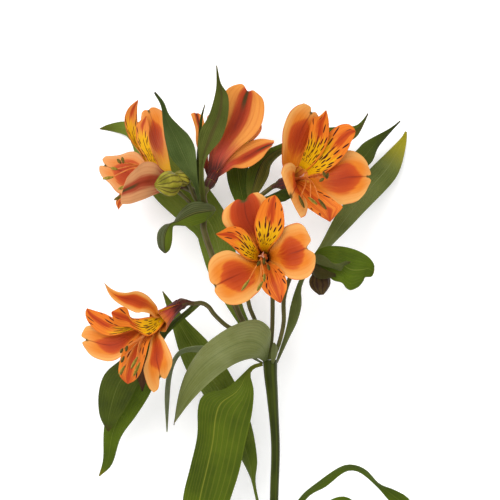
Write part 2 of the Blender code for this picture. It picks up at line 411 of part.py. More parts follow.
# Each bloom: the foot its petals spring from, the way it looks, its petals and its anthers
BLOOMS = {
    "centre": dict(
        foot=(-3, 58.5, 20), axis=(-0.08, 0.10, 1.0),
        petals=[
            dict(kind="broad", notch=6, spread=0.35,
                 left=[(-8, 65.5, 36.5), (-16.5, 70.5, 42), (-22.5, 74, 43.5), (-26, 79, 44),
                       (-25.5, 84.5, 44), (-22, 88, 44)],
                 right=[(-3.5, 67, 36), (-1, 75.5, 41.5), (-0.5, 84, 43.5), (-2, 91, 44),
                        (-6.5, 94.5, 44)]),
            dict(kind="broad", notch=4, spread=0.3,
                 left=[(0, 63.5, 32.5), (4.5, 70, 40), (7, 75, 42.5), (10.5, 77, 43), (15, 78, 43.5),
                       (18.5, 76, 44), (20, 73, 43.5)],
                 right=[(1, 57, 30), (4.5, 53.5, 36.5), (7.5, 50, 40), (11.5, 47.5, 42), (15.5, 47, 43),
                        (20.5, 48.5, 43.5), (23.5, 52.5, 43.5), (24.5, 56.5, 43.5)]),
            dict(kind="broad", notch=1.5,
                 left=[(-4.5, 53.5, 32), (-4, 47.5, 38.5), (-5, 42.5, 41.5), (-7.5, 39.5, 42.5),
                       (-12.5, 35.5, 43.5), (-18.5, 33.5, 44), (-23.5, 34, 44), (-27, 36.5, 44)],
                 right=[(-10, 58, 34), (-17, 61, 40.5), (-22, 63, 42.5), (-26.5, 62.5, 43),
                        (-31, 60, 43.5), (-33.5, 56, 44), (-33.5, 51, 44)]),
            dict(kind="narrow",
                 left=[(-6, 64.5, 36), (-8, 71.5, 43.5), (-8.5, 78, 46), (-6.5, 85, 47), (-3.5, 90, 47.5),
                       (-0.5, 92, 47.5), (2.5, 93, 47.5)],
                 right=[(0, 64.5, 36), (5, 70, 43.5), (7.5, 75.5, 46), (7.5, 81.5, 47), (6.5, 87, 47.5),
                        (4.5, 91, 47.5), (2.5, 93, 47.5)]),
            dict(kind="narrow",
                 left=[(-7.5, 57, 32.5), (-12, 58, 39.5), (-16.5, 61, 43), (-21, 65.5, 45.5),
                       (-25, 68.5, 46.5), (-28, 70.5, 47), (-29.5, 72, 47.5)],
                 right=[(-6.5, 63.5, 35), (-10.5, 70, 43), (-14.5, 74.5, 46), (-18.5, 76, 46.5),
                        (-23, 75.5, 47), (-26.5, 73.5, 47), (-29.5, 72, 47.5)]),
            dict(kind="narrow",
                 left=[(0.5, 56, 31), (4, 54.5, 37), (6.5, 52, 40.5), (8.5, 48, 43), (9, 43, 44),
                       (7.5, 38.5, 45), (6.5, 36, 45.5), (5.5, 34.5, 45.5)],
                 right=[(-4, 54.5, 31), (-5, 50, 37.5), (-5, 44, 42.5), (-3, 40.5, 43.5), (0, 38, 44.5),
                        (3.5, 35.5, 45), (5.5, 34.5, 45.5)]),
        ],
        anthers=[(-13.4, 44, 53), (-5.5, 44.3, 53), (-3.3, 48.4, 54), (-6.5, 56, 44), (-1, 53.5, 46),
                 (-3.5, 61, 42)]),
    "right": dict(
        foot=(7.5, 100, 7), axis=(0.58, 0.18, 0.79),
        petals=[
            dict(kind="broad", notch=3, spread=0.3,
                 left=[(8, 104, 13), (6.5, 111, 20), (6.5, 120, 28), (7, 128.5, 32), (10, 137.5, 34),
                       (14, 141.5, 34), (18.5, 143, 33)],
                 right=[(15.5, 106.5, 14), (21.5, 116, 18), (26.5, 124.5, 21), (29, 131, 23),
                        (28, 137, 25)]),
            dict(kind="broad", notch=2.5, spread=0.2,
                 left=[(21.5, 106, 15), (31.5, 112, 18), (39.5, 117, 19), (45, 117.5, 19), (50, 115, 18),
                       (53, 111.5, 17), (54, 108, 17)],
                 right=[(21.5, 96.5, 18), (28, 92.5, 24), (33.5, 90, 26), (37.5, 88, 26),
                        (42.5, 88.5, 25), (47.5, 90, 24), (51.5, 94, 22), (54, 98.5, 20)]),
            dict(kind="broad", bow=-3,
                 left=[(15, 96.5, 18), (19, 92, 28), (20.5, 86.5, 36), (19, 82, 42), (16.5, 80.5, 46)],
                 right=[(11, 103.5, 17), (14, 108, 28), (11.5, 110.5, 36), (7.5, 109.5, 42), (6, 105, 46)]),
            dict(kind="narrow",
                 left=[(14, 107.5, 15), (17.5, 116, 21), (20, 122, 25), (21.5, 129, 28), (23, 135, 30),
                       (26.5, 136, 31), (30.5, 139.5, 32)],
                 right=[(20, 108.5, 16), (25.5, 116.5, 22), (29.5, 122, 26), (32, 126.5, 28),
                        (32, 132, 30), (31.5, 136, 31), (30.5, 139.5, 32)]),
            dict(kind="narrow",
                 left=[(19, 106, 15), (25, 114, 20), (29, 121, 23), (33.5, 128.5, 25), (38, 131.5, 26),
                       (42.5, 132, 27), (45.5, 130, 27), (46.5, 128, 27)],
                 right=[(21.5, 103.5, 16), (29, 105, 21), (36, 110, 24), (40, 114.5, 26), (43, 119, 27),
                        (44, 122, 27), (46, 125.5, 27), (46.5, 128, 27)]),
            dict(kind="narrow",
                 left=[(17, 101, 19), (25.5, 97, 28), (32.5, 92.5, 34), (37, 88.5, 36), (39.5, 87, 37),
                       (36.5, 83, 38), (32.5, 78.5, 38)],
                 right=[(13, 98.5, 19), (14.5, 94, 27), (17.5, 89, 33), (20.5, 86, 36), (24, 83.5, 37),
                        (28, 81, 38), (32.5, 78.5, 38)]),
        ],
        anthers=[(17, 88.3, 49), (23.1, 89.7, 48), (28, 88.3, 47), (29.7, 104.5, 43), (27, 101.8, 44),
                 (31.5, 101, 42)]),
    "top_left": dict(
        foot=(-52, 100.7, 7), axis=(-0.86, 0.45, 0.20),
        petals=[
            dict(kind="broad", notch=4, spread=0.3,
                 left=[(-59.5, 104, 3), (-62.5, 111, -2), (-66, 118.5, -5), (-69, 125.5, -6),
                       (-71, 132.5, -6), (-71, 138.5, -5)],
                 right=[(-54, 106, 9), (-55.5, 114, 10), (-57, 120.5, 10), (-58, 127, 9), (-58, 135, 8),
                        (-59.5, 139.5, 7), (-62.5, 141.5, 5)]),
            dict(kind="broad", notch=3,
                 left=[(-60.5, 98, 3), (-68, 95, 1), (-76, 93.5, -1), (-83.5, 94.5, -1), (-88.5, 100, -2),
                       (-92.5, 103.5, -3), (-94, 106.5, -4)],
                 right=[(-61.5, 105, 3), (-67.5, 111, 1), (-72.5, 116.5, -2), (-77, 117.5, -3),
                        (-83.5, 115.5, -4), (-90.5, 115, -5)]),
            dict(kind="broad", notch=0.5, spread=0.2,
                 left=[(-56, 105, 10), (-59.5, 107.5, 14), (-62.5, 110.5, 18), (-66.5, 111.5, 22),
                       (-70.5, 110.5, 26), (-73.5, 107.5, 29), (-77.5, 103, 31)],
                 right=[(-56.5, 96.5, 9), (-61, 94.5, 12), (-65.5, 92.5, 15), (-70.5, 90.5, 19),
                        (-76, 88.5, 22), (-81.5, 88.5, 24)]),
            dict(kind="narrow",
                 left=[(-67, 110, 7), (-71.5, 117, 5), (-75, 121, 3), (-77.5, 125.5, 1), (-79.5, 131, -1),
                       (-80, 136.5, -2), (-77.5, 142, -2), (-72.5, 146, -2)],
                 right=[(-62, 107.5, 6), (-67, 115, 3), (-70.5, 122, 0), (-72.5, 129, -2), (-73, 136, -3),
                        (-73, 141.5, -3), (-72.5, 146, -2)]),
            dict(kind="narrow",
                 left=[(-64, 106.5, 5), (-68, 113, 6), (-72, 119.5, 6), (-73.5, 126, 5), (-73, 132.5, 3),
                       (-68, 137, 2)],
                 right=[(-59, 104.5, 6), (-61.5, 110.5, 8), (-64.5, 117.5, 9), (-66.5, 125.5, 7),
                        (-66.5, 132, 4), (-68, 137, 2)]),
            dict(kind="narrow",
                 left=[(-60.5, 96.5, 2), (-67, 93.5, -1), (-73.5, 91.5, -3), (-80, 89.5, -5),
                       (-83.5, 85.5, -6)],
                 right=[(-63.5, 99.5, 1), (-71.5, 98.5, -3), (-78, 97, -5), (-83, 94, -6),
                        (-85, 89.5, -6), (-83.5, 85.5, -6)]),
        ],
        anthers=[(-84, 111.5, 12), (-80.5, 113.6, 16), (-89, 103.5, 16), (-83, 100, 20),
                 (-84.5, 96.5, 18), (-86.5, 108, 15)]),
    "top": dict(
        foot=(-32, 102, 9), axis=(0.45, 0.85, -0.28),
        petals=[
            dict(kind="broad", notch=3.6, spread=0.22, bow=2,
                 left=[(-28, 105, 9), (-25, 110.5, 10), (-20.5, 116, 10), (-15.5, 120.5, 9),
                       (-10.5, 124.5, 9), (-6.5, 129, 8), (-4, 134, 7), (-3, 141, 6), (-4, 146.5, 6),
                       (-7.5, 149.5, 6)],
                 right=[(-34, 106, 9), (-33.5, 114, 10), (-32.5, 121, 10), (-31, 129, 9), (-29, 137.5, 8),
                        (-27, 145, 7), (-24, 151, 6), (-20.5, 153.5, 6), (-16.5, 154.5, 6)]),
            dict(kind="broad", notch=0.5, spread=0.2, bow=2,
                 left=[(-28.5, 103, 10), (-24, 106, 11), (-20, 108.5, 12), (-15.5, 108, 12),
                       (-11, 109, 11), (-6.5, 112, 10), (-3.5, 114.5, 9), (-1, 118.5, 8)],
                 right=[(-29, 106, 10), (-25.5, 111, 8), (-21.5, 116, 6), (-17, 119.5, 5),
                        (-12.5, 122, 4), (-7.5, 124, 3), (-3, 124.5, 2), (2, 123.5, 1)]),
            dict(kind="broad", notch=0.5, spread=0.2, bow=1.5,
                 left=[(-33.5, 107.5, 8), (-34, 113, 7), (-34.5, 119.5, 5), (-35, 126, 3), (-36, 132, 2),
                       (-37, 137, 1)],
                 right=[(-35, 105, 7), (-37, 110.5, 6), (-39, 116, 4), (-40.5, 122, 2), (-41, 129, 0),
                        (-42.5, 135, -1), (-43.5, 138, -2)]),
            dict(kind="narrow",
                 left=[(-28.5, 117.5, 4.5), (-28, 127.5, 3), (-27.5, 137, 0), (-27, 143.5, -5.5),
                       (-25, 146, -14)],
                 right=[(-26.5, 115, 0.5), (-23, 122, -6), (-21.5, 129.5, -12), (-22, 137.5, -15),
                        (-25, 146, -14)]),
            dict(kind="narrow",
                 left=[(-26, 115, 0.5), (-23.5, 123, -5.5), (-20, 130, -11.5), (-14.5, 134.5, -16),
                       (-6, 136, -18)],
                 right=[(-21.5, 113.5, 3), (-14, 119.5, -0.5), (-7.5, 125.5, -5), (-4.5, 130.5, -11),
                        (-6, 136, -18)]),
            dict(kind="narrow",
                 left=[(-30.5, 114.5, 5), (-31.5, 122.5, 3.5), (-33, 130.5, 0), (-34.5, 136, -5.5),
                       (-34, 138, -14)],
                 right=[(-28.5, 112, 1.5), (-27, 117.5, -5), (-27.5, 124, -11), (-30, 130.5, -14.5),
                        (-34, 138, -14)]),
        ],
        anthers=[(-15, 124, 1), (-13, 131, -2), (-17, 133, -3), (-19, 130, -3), (-12, 127, -2),
                 (-20, 134, -4)]),
    "left": dict(
        foot=(-50.3, 33, 8), axis=(-0.62, -0.52, 0.60),
        petals=[
            dict(kind="broad", bow=-2,
                 left=[(-55, 29.5, 16), (-59, 27, 20), (-62.5, 26, 23.5), (-65.5, 28.5, 27),
                       (-69.5, 29.5, 30), (-72.5, 29, 31), (-76.5, 30.5, 31), (-81, 33, 30),
                       (-85.5, 36.5, 29), (-88.5, 40.5, 28), (-90.5, 45.5, 27)],
                 right=[(-56, 31.5, 16), (-59.5, 29.5, 20.5), (-61, 28.5, 25), (-61.5, 32, 28),
                        (-64, 35.5, 31), (-67.5, 39, 33), (-72.5, 41, 34), (-78, 40, 33), (-83, 40.5, 31),
                        (-87, 42.5, 29), (-90.5, 45.5, 27)]),
            dict(kind="broad", notch=3,
                 left=[(-59, 26, 12), (-66, 20.5, 17), (-71.5, 16.5, 20.5), (-76.5, 11.5, 23),
                       (-81.5, 5, 25), (-87, 2.5, 24), (-93.5, 3.5, 22), (-98.5, 6, 20), (-101.5, 10, 19)],
                 right=[(-60.5, 27, 11), (-67, 22, 15.5), (-72.5, 19, 19), (-79, 17.5, 22),
                        (-86.5, 17, 21), (-93, 19, 20), (-97, 22, 19), (-100.5, 21.5, 18),
                        (-102.5, 18.5, 17)]),
            dict(kind="broad", notch=4, spread=0.3,
                 left=[(-55.5, 27, 10.5), (-59, 22.5, 15.5), (-60.5, 18.5, 19.5), (-58, 14.5, 22.5),
                       (-55.5, 10, 25), (-53.5, 5, 27), (-53.5, 1, 26), (-55, -3, 26)],
                 right=[(-58, 26.5, 12), (-62.5, 20.5, 16.5), (-65, 15, 21), (-66, 9.5, 25.5),
                        (-67.5, 3.5, 29), (-69, -1.5, 29), (-68, -7, 28), (-66, -12, 27),
                        (-63.5, -14.5, 26)]),
            dict(kind="narrow",
                 left=[(-57, 28, 10.5), (-66, 21.5, 18), (-72.5, 20, 22.5), (-78, 18.5, 25),
                       (-83, 17, 26), (-88.5, 16.5, 25), (-93, 18, 24), (-97, 21, 23), (-100, 25, 22),
                       (-101, 29, 22), (-100, 31.5, 22)],
                 right=[(-58, 29.5, 10.5), (-66, 25, 18), (-72.5, 23, 22.5), (-79, 24, 25),
                        (-86, 26.5, 25), (-90, 28.5, 24), (-95, 30, 23), (-100, 31.5, 22)]),
            dict(kind="narrow", bow=-1.5,
                 left=[(-58, 29, 19), (-62.5, 25.5, 23), (-68, 23.5, 27), (-72.5, 23, 29), (-77, 22, 32),
                       (-81.5, 21.5, 34), (-84.5, 23.5, 36), (-85.5, 27, 37)],
                 right=[(-59, 31, 20), (-63.5, 27.5, 23), (-68, 26.5, 27), (-72.5, 26, 29), (-76, 27, 32),
                        (-77.5, 31, 34), (-81, 32.5, 36), (-84.5, 30.5, 37)]),
            dict(kind="narrow",
                 left=[(-57, 27, 12.5), (-61.5, 21.5, 18), (-63.5, 17.5, 22), (-66, 13, 26.5),
                       (-67.5, 7, 31), (-69, 1, 34), (-71, -4.5, 36), (-74, -8, 36), (-77.5, -9.5, 36)],
                 right=[(-59, 28, 12.5), (-65, 23, 18), (-68, 20.5, 22), (-72.5, 16.5, 26.5),
                        (-77.5, 12.5, 30.5), (-80.5, 7.5, 34), (-82, 2, 34), (-82.5, -3.5, 35),
                        (-80.5, -7, 35), (-77.5, -9.5, 36)]),
        ],
        anthers=[(-80.3, 8.8, 40), (-77.6, 9.9, 40), (-79.8, 3.9, 41), (-80.9, -2.2, 42),
                 (-73.7, 2.2, 42), (-72.6, -2.2, 42)]),
}
CORE_BELOW, CORE_ABOVE, CORE_RADIUS = 1.5, 2.5, 3.0
STAMEN_FOOT_RADIUS, STAMEN_FOOT_HEIGHT, STAMEN_RING = 1.5, 1.6, 0.75
# Places along a stamen, as shares of its length, and its radius there: a thin filament, then the anther
STAMEN_SHARES = (0.0, 0.35, 0.65, 0.83, 0.87, 0.95, 1.0)
STAMEN_SIZES = (0.45, 0.45, 0.42, 0.40, 0.85, 0.90, 0.40)


def disc(name, centre, direction, radius, height, sides=10):
    """A short round block, its middle at the centre."""
    bm = bmesh.new()
    turn = Vector(direction).to_track_quat("Z", "Y").to_matrix().to_4x4()
    bmesh.ops.create_cone(
        bm,
        cap_ends=True,
        segments=sides,
        radius1=radius * MM,
        radius2=radius * MM,
        depth=height * MM,
        matrix=Matrix.Translation(Vector(centre) * MM) @ turn,
    )
    mesh = bpy.data.meshes.new(name)
    bm.to_mesh(mesh)
    bm.free()
    return bpy.data.objects.new(name, mesh)


def bloom(name, flower, material, collection):
    """Six petals grown together with a short core at their foot."""
    foot, axis = Vector(flower["foot"]), Vector(flower["axis"]).normalized()
    middle = foot + axis * ((CORE_ABOVE - CORE_BELOW) / 2)
    pieces = [disc(name + "_core", middle, axis, CORE_RADIUS, CORE_BELOW + CORE_ABOVE)]
    for i, petal in enumerate(flower["petals"]):
        place = petal_place(foot, axis, **petal)
        across, steps = PETAL_STEPS[petal["kind"]]
        pieces.append(blade_object(f"{name}_petal_{i}", place, across, steps, PETAL_THICKNESS))
    return fused(name, pieces, material, collection)


def stamen(name, points):
    """A thin filament that swells into the anther at its end."""
    curve = tube(name, points, STAMEN_SIZES[:2], 0, sides=4, shares=STAMEN_SHARES)
    for point, size in zip(curve.data.splines[0].points, STAMEN_SIZES):
        point.radius = size
    return curve


def stamens(name, flower, material, collection):
    """Six filaments with their anthers, on a small foot set in the throat of the bloom."""
    foot, axis = Vector(flower["foot"]), Vector(flower["axis"]).normalized()
    low = CORE_ABOVE + SEAT_GAP
    middle = foot + axis * (low + STAMEN_FOOT_HEIGHT / 2)
    pieces = [disc(name + "_foot", middle, axis, STAMEN_FOOT_RADIUS, STAMEN_FOOT_HEIGHT, 8)]
    side = axis.orthogonal().normalized()
    for i, anther in enumerate(vectors(flower["anthers"])):
        out = Matrix.Rotation(math.radians(60 * i), 3, axis) @ side
        root = foot + axis * (low + STAMEN_FOOT_HEIGHT / 2) + out * STAMEN_RING
        rise = (anther - foot).dot(axis)
        bend = foot + axis * (rise * 0.6) + out * STAMEN_RING + (anther - foot - axis * rise) * 0.15
        pieces.append(stamen(f"{name}_{i}", [root, bend, anther]))
    return fused(name, pieces, material, collection)


OVARY_RADII = (1.3, 1.3, 1.9, 2.9, 2.7)


def ray_end(flower, back):
    """A point on the axis of a flower, behind its foot."""
    foot, axis = Vector(BLOOMS[flower]["foot"]), Vector(BLOOMS[flower]["axis"]).normalized()
    return foot - axis * (CORE_BELOW + SEAT_GAP + back)


# Each stalk runs through its own points and then into the ovary behind the flower it carries
RAYS = {
    "ray_centre": [
        ("centre", [(0, 3.1, 2.35), (0, 5.2, 2.4), (1.2, 20, 3), (1.4, 37, 5), (0.8, 48, 8)])],
    "ray_right": [
        ("right", [(1.38, 3.55, -1.9), (1.3, 5.2, -2), (-2, 12, -2.5), (-8.8, 25.9, -3),
                   (-12.1, 35.8, -3.5), (-14, 55, -4), (-12.5, 75, -4), (-9.9, 88, -3)])],
    "ray_left": [
        ("left", [(-1.38, 3.45, -1.9), (-1.5, 5.2, -2), (-6, 10, -3), (-15, 17, -1.5), (-23.7, 21.5, 1),
                  (-30.3, 27.5, 3), (-33.6, 31.9, 4), (-37.4, 34.1, 4.5)])],
    "ray_upper_left": [
        ("top", [(-2.23, 3.35, 0.73), (-2.4, 5.2, 0.8), (-8, 14, 1.2), (-15.4, 24.8, 2), (-19.8, 34.1, 3),
                 (-27, 48, 4), (-31.9, 60.5, 4.5), (-36.5, 75.4, 4.5), (-35.5, 86, 5)]),
        ("top_left", [(-36, 82, 4.7), (-35.8, 87, 5), (-38, 91, 6)])],
    "ray_bud": [
        (None, [(2.23, 3.45, 0.73), (2.3, 5.2, 0.8), (5, 12, 1.5), (7.5, 23.5, 2.5), (7.7, 37, 4),
                (12, 50, 6), (19, 57, 8), (22, 58.2, 8.8)])],
}
OVARY_LENGTH = 8.5
# Where a stalk forks for two flowers, it thickens into a small knot
KNOTS = {"ray_upper_left": (-35.5, 85.5, 5)}
KNOT_RADIUS = 2.4


def ball(name, centre, radius):
    bm = bmesh.new()
    bmesh.ops.create_icosphere(
        bm, subdivisions=1, radius=radius * MM, matrix=Matrix.Translation(Vector(centre) * MM)
    )
    mesh = bpy.data.meshes.new(name)
    bm.to_mesh(mesh)
    bm.free()
    return bpy.data.objects.new(name, mesh)


def ray(name, forks, material, collection):
    """A flower stalk with the ovary of each flower on it."""
    pieces = []
    for i, (flower, points) in enumerate(forks):
        line = vectors(points)
        if flower:
            line += [ray_end(flower, OVARY_LENGTH), ray_end(flower, OVARY_LENGTH * 0.4)]
            ovary = [ray_end(flower, OVARY_LENGTH), ray_end(flower, 0)]
            pieces.append(tube(f"{name}_ovary_{i}", ovary, OVARY_RADII, 4, sides=8))
        pieces.append(tube(f"{name}_stalk_{i}", line, (RAY_RADIUS, RAY_RADIUS * 1.15), 2 * len(line)))
    if name in KNOTS:
        pieces.append(ball(name + "_knot", KNOTS[name], KNOT_RADIUS))
    return fused(name, pieces, material, collection)


# Buds: where each sits, the way it points, its length and radius, and its stalk's foot
BUDS = {
    "bud_large": dict(
        centre=(-57, 99.3, 24), point=(-0.8, -0.1, 0.55), half_length=6.5, radius=5.6, colour="bud",
        stalk=[(-38.5, 84.5, 6.2), (-44, 89.5, 10.5), (-50, 95, 18), (-53.5, 98, 21.5)]),
    "bud_small": dict(
        centre=(-49, 103.2, 13.2), point=(-0.7, 0.3, 0.6), half_length=5, radius=3.3, colour="bud",
        stalk=[(-38.3, 87.2, 6.4), (-42, 93, 9.5), (-44.5, 99, 11.5), (-47.5, 102.3, 12.2)]),
    "bud_withered": dict(
        centre=(26.5, 44.5, 5.5), point=(0.35, -0.9, -0.1), half_length=7, radius=5, colour="withered",
        stalk=[(21.7, 56.4, 7.2), (23, 52, 6.2), (25, 48, 5.8)]),
}
BUD_RIBS, BUD_RIB_DEPTH, BUD_TAPER = 6, 0.09, 0.35
BUD_STALK_RADII = (0.9, 1.1)


def bud(name, shape, material, collection):
    """A closed bud: a ribbed, pointed drop on its short stalk."""
    bm = bmesh.new()
    bmesh.ops.create_uvsphere(bm, u_segments=12, v_segments=7, radius=1.0)
    for vert in bm.verts:
        angle = math.atan2(vert.co.y, vert.co.x)
        rib = 1 + BUD_RIB_DEPTH * math.cos(BUD_RIBS * angle)
        tall = vert.co.z
        narrow = 1 - BUD_TAPER * max(tall, 0) ** 2
        vert.co.x *= shape["radius"] * rib * narrow * MM
        vert.co.y *= shape["radius"] * rib * narrow * MM
        vert.co.z = tall * shape["half_length"] * MM
    turn = Vector(shape["point"]).to_track_quat("Z", "Y").to_matrix().to_4x4()
    bmesh.ops.transform(
        bm, matrix=Matrix.Translation(Vector(shape["centre"]) * MM) @ turn, verts=bm.verts
    )
    mesh = bpy.data.meshes.new(name)
    bm.to_mesh(mesh)
    bm.free()
    drop = bpy.data.objects.new(name + "_drop", mesh)
    stalk = tube(name + "_stalk", shape["stalk"], BUD_STALK_RADII, 4)
    return fused(name, [drop, stalk], material, collection)


# The stem from its cut end to the whorl, where it widens
STEM_LINE = [(-9, -STEM_LENGTH_BELOW_WHORL, -39.5), (-3, -180, -34), (1.5, -120, -24.5),
             (2.3, -74, -14.5), (3, -45, -7), (1.4, -19, -2), (0.3, -6, -0.3), (0, 2.8, 0)]
STEM_RADII = (2.45, 2.4, 2.35, 2.35, 2.35, 2.4, 2.6, 4.0)


def main():
    clear_scene()
    collection = parts_collection()
    materials = {name: principled("alstroemeria_" + name, colour) for name, colour in COLOURS.items()}
    for name, leaf in LEAVES.items():
        shape = {key: value for key, value in leaf.items() if key not in ("steps", "colour")}
        across, steps = leaf["steps"]
        blade = blade_object(name, leaf_place(**shape), across, steps, LEAF_THICKNESS)
        finish(blade, materials[leaf["colour"]], collection)
    for name, flower in BLOOMS.items():
        bloom("bloom_" + name, flower, materials["petal"], collection)
        stamens("stamens_" + name, flower, materials["anther"], collection)
    for name, forks in RAYS.items():
        ray(name, forks, materials["stalk"], collection)
    for name, shape in BUDS.items():
        bud(name, shape, materials[shape["colour"]], collection)
    fused("main_stem", [tube("stem", STEM_LINE, STEM_RADII, 18, sides=10)], materials["stem"], collection)


main()
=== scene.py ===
# %% [markdown]
# # An alstroemeria stem, cut and laid down
#
# The real thing is one leafy stem with a whorl of leaves at its top. Five thin stalks rise from the whorl
# and carry five open flowers and three buds. Everything on it is grown, and nearly everything is a thin
# curved blade, so most of this lesson is about one idea: lay a flat grid over an outline, then give it a
# thickness and a skin that knows how far along and across the blade it is.
#
# It starts from the plain solids, which give every piece its place. Each step below makes one kind of
# piece again with finer curves, and hides the plain solid that it stands for.

# %% The plain solids
import math

import bmesh
import bpy
from mathutils import Matrix, Vector


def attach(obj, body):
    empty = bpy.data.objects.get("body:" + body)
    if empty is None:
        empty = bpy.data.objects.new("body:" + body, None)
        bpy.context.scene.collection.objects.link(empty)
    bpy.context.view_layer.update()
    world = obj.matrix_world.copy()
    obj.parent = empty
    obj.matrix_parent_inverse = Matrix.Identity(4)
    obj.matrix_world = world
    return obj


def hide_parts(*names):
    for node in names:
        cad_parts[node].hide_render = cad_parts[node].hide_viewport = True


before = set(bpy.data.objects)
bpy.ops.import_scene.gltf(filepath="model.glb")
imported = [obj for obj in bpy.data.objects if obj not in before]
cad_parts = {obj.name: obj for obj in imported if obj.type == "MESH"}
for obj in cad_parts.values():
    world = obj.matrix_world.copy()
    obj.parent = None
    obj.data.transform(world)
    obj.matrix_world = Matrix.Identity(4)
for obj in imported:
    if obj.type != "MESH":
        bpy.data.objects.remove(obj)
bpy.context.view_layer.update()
print("solids:", len(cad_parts))

# %% [markdown]
# Lengths are in millimetres from the whorl, the joint where leaves and stalks meet, because on the real
# stem everything is held there. The whorl itself is some way above the surface that the stem lies on.
# Long rows of points are written as text, which is easier to read than a thicket of brackets.

# %% Units and the whorl
MM = 0.001
WHORL = Vector((8.9, 38.1, 41.9))


def placed(point):
    """A point given in millimetres from the whorl, as a place in the scene."""
    return (Vector(point) + WHORL) * MM


def listed(text):
    """The points of a text such as '0 3.1 2.4, 0 5.2 2.4', each as its x, y and z."""
    return [Vector([float(number) for number in point.split()]) for point in text.split(",")]


def shown(name, data):
    """A new object with this data, put in the scene."""
    thing = bpy.data.objects.new(name, data)
    bpy.context.scene.collection.objects.link(thing)
    return thing


def mesh_object(name, bm, skins=()):
    """A new object made from a finished bmesh, with these materials."""
    mesh = bpy.data.meshes.new(name)
    bm.to_mesh(mesh)
    bm.free()
    for skin in skins:
        mesh.materials.append(skin)
    return shown(name, mesh)


print("whorl at", [round(n, 3) for n in placed((0, 0, 0))])

# %% [markdown]
# ## Camera, floor and light
#
# The stem lies on its back, so the photograph's view is from straight above. A long lens three metres
# away keeps the flowers in the same scale as the leaves behind them. A shorter lens close by would also
# fit the frame, but it would swell the blooms, which stand highest.

# %% The camera
CAMERA_HEIGHT, CAMERA_REACH = 3.0, 10.0
VIEW_WIDTH = 0.275
VIEW_CENTRE = (-11.0, 63.25, 0.0)
SENSOR = 36.0

lens = bpy.data.cameras.new("camera")
lens.sensor_width = SENSOR
lens.lens = SENSOR * CAMERA_HEIGHT / VIEW_WIDTH
lens.clip_end = CAMERA_REACH
camera = shown("camera", lens)
camera.location = placed(VIEW_CENTRE) + Vector((0, 0, CAMERA_HEIGHT))
bpy.context.scene.camera = camera
print("lens in mm:", round(lens.lens))

# %% [markdown]
# The photograph is a studio picture on white: no hard shadow, and the same bright light from all round. A
# white world does most of that, and the floor glows a little, like a light table, so that shadows stay
# faint. One large lamp above the tips of the flowers adds the soft shading that shows which way each
# blade is turned.

# %% The floor and the light
FLOOR_SIZE = 6.0
FLOOR_GREY, FLOOR_ROUGHNESS, FLOOR_SHINE, FLOOR_GLOW = 0.93, 0.9, 0.1, 0.22
WHITE = (1.0, 1.0, 1.0, 1.0)
SKY_STRENGTH = 0.98
LAMP_POWER, LAMP_SIZE = 34.0, 1.6
LAMP_PLACE, LAMP_TARGET = Vector((-0.7, 1.0, 1.9)), Vector((0, 0.05, 0.05))

bm = bmesh.new()
bmesh.ops.create_grid(bm, x_segments=1, y_segments=1, size=FLOOR_SIZE / 2)
paint = bpy.data.materials.new("pale_floor")
paint.use_nodes = True
floor_inputs = paint.node_tree.nodes["Principled BSDF"].inputs
for socket, value in {
    "Base Color": (FLOOR_GREY, FLOOR_GREY, FLOOR_GREY, 1.0),
    "Roughness": FLOOR_ROUGHNESS,
    "Specular IOR Level": FLOOR_SHINE,
    "Emission Color": WHITE,
    "Emission Strength": FLOOR_GLOW,
}.items():
    floor_inputs[socket].default_value = value
mesh_object("floor", bm, [paint])

world = bpy.data.worlds.new("studio")
world.use_nodes = True
sky_inputs = world.node_tree.nodes["Background"].inputs
sky_inputs["Color"].default_value = WHITE
sky_inputs["Strength"].default_value = SKY_STRENGTH
bpy.context.scene.world = world
bpy.context.scene.view_settings.view_transform = "Standard"

window = bpy.data.lights.new("window", "AREA")
window.energy, window.size = LAMP_POWER, LAMP_SIZE
lamp = shown("window", window)
lamp.location = LAMP_PLACE
lamp.rotation_euler = (LAMP_TARGET - LAMP_PLACE).to_track_quat("-Z", "Y").to_euler()
print("lamp to the middle:", round(LAMP_PLACE.length, 2), "m")

# %% [markdown]
# ## Curves that run through given points
#
# A leaf edge or a stalk is listed as a few points. A curve that passes through all of them keeps them
# easy to read against the real thing. The even version has its points equally far apart, so that veins
# don't bunch up where the listed points are close together.

# %% Smooth, even curves
FINE_STEPS, EVEN_STEPS = 480, 96


def share_of(place, parts):
    """Splits a place from 0 to 1 into the number of its part and the share of that part."""
    at = min(max(place, 0.0), 1.0) * parts
    i = min(int(at), parts - 1)
    return i, at - i


def smooth_point(points, place):
    """The point of a smooth curve through the given points, with place running from 0 to 1."""
    i, u = share_of(place, len(points) - 1)
    a, b = points[i], points[i + 1]
    before = points[i - 1] if i > 0 else a - (b - a)
    after = points[i + 2] if i + 2 < len(points) else b + (b - a)
    return 0.5 * (
        2 * a
        + (b - before) * u
        + (2 * before - 5 * a + 4 * b - after) * u**2
        + (3 * a - before - 3 * b + after) * u**3
    )


def even_line(points):
    """Points evenly spaced along the smooth curve through the given points."""
    points = [Vector(p) for p in points]
    fine = [smooth_point(points, i / FINE_STEPS) for i in range(FINE_STEPS + 1)]
    reach = [0.0]
    for a, b in zip(fine, fine[1:]):
        reach.append(reach[-1] + (b - a).length)
    line = []
    j = 0
    for i in range(EVEN_STEPS + 1):
        want = reach[-1] * i / EVEN_STEPS
        while j < len(reach) - 2 and reach[j + 1] < want:
            j += 1
        share = (want - reach[j]) / max(reach[j + 1] - reach[j], 1e-9)
        line.append(fine[j].lerp(fine[j + 1], share))
    return line


def along(line, place):
    """The point at a share of the length of an evenly spaced line."""
    i, share = share_of(place, len(line) - 1)
    return line[i].lerp(line[i + 1], share)


print("an even line has", len(even_line([(0, 0, 0), (1, 0, 0)])), "points")

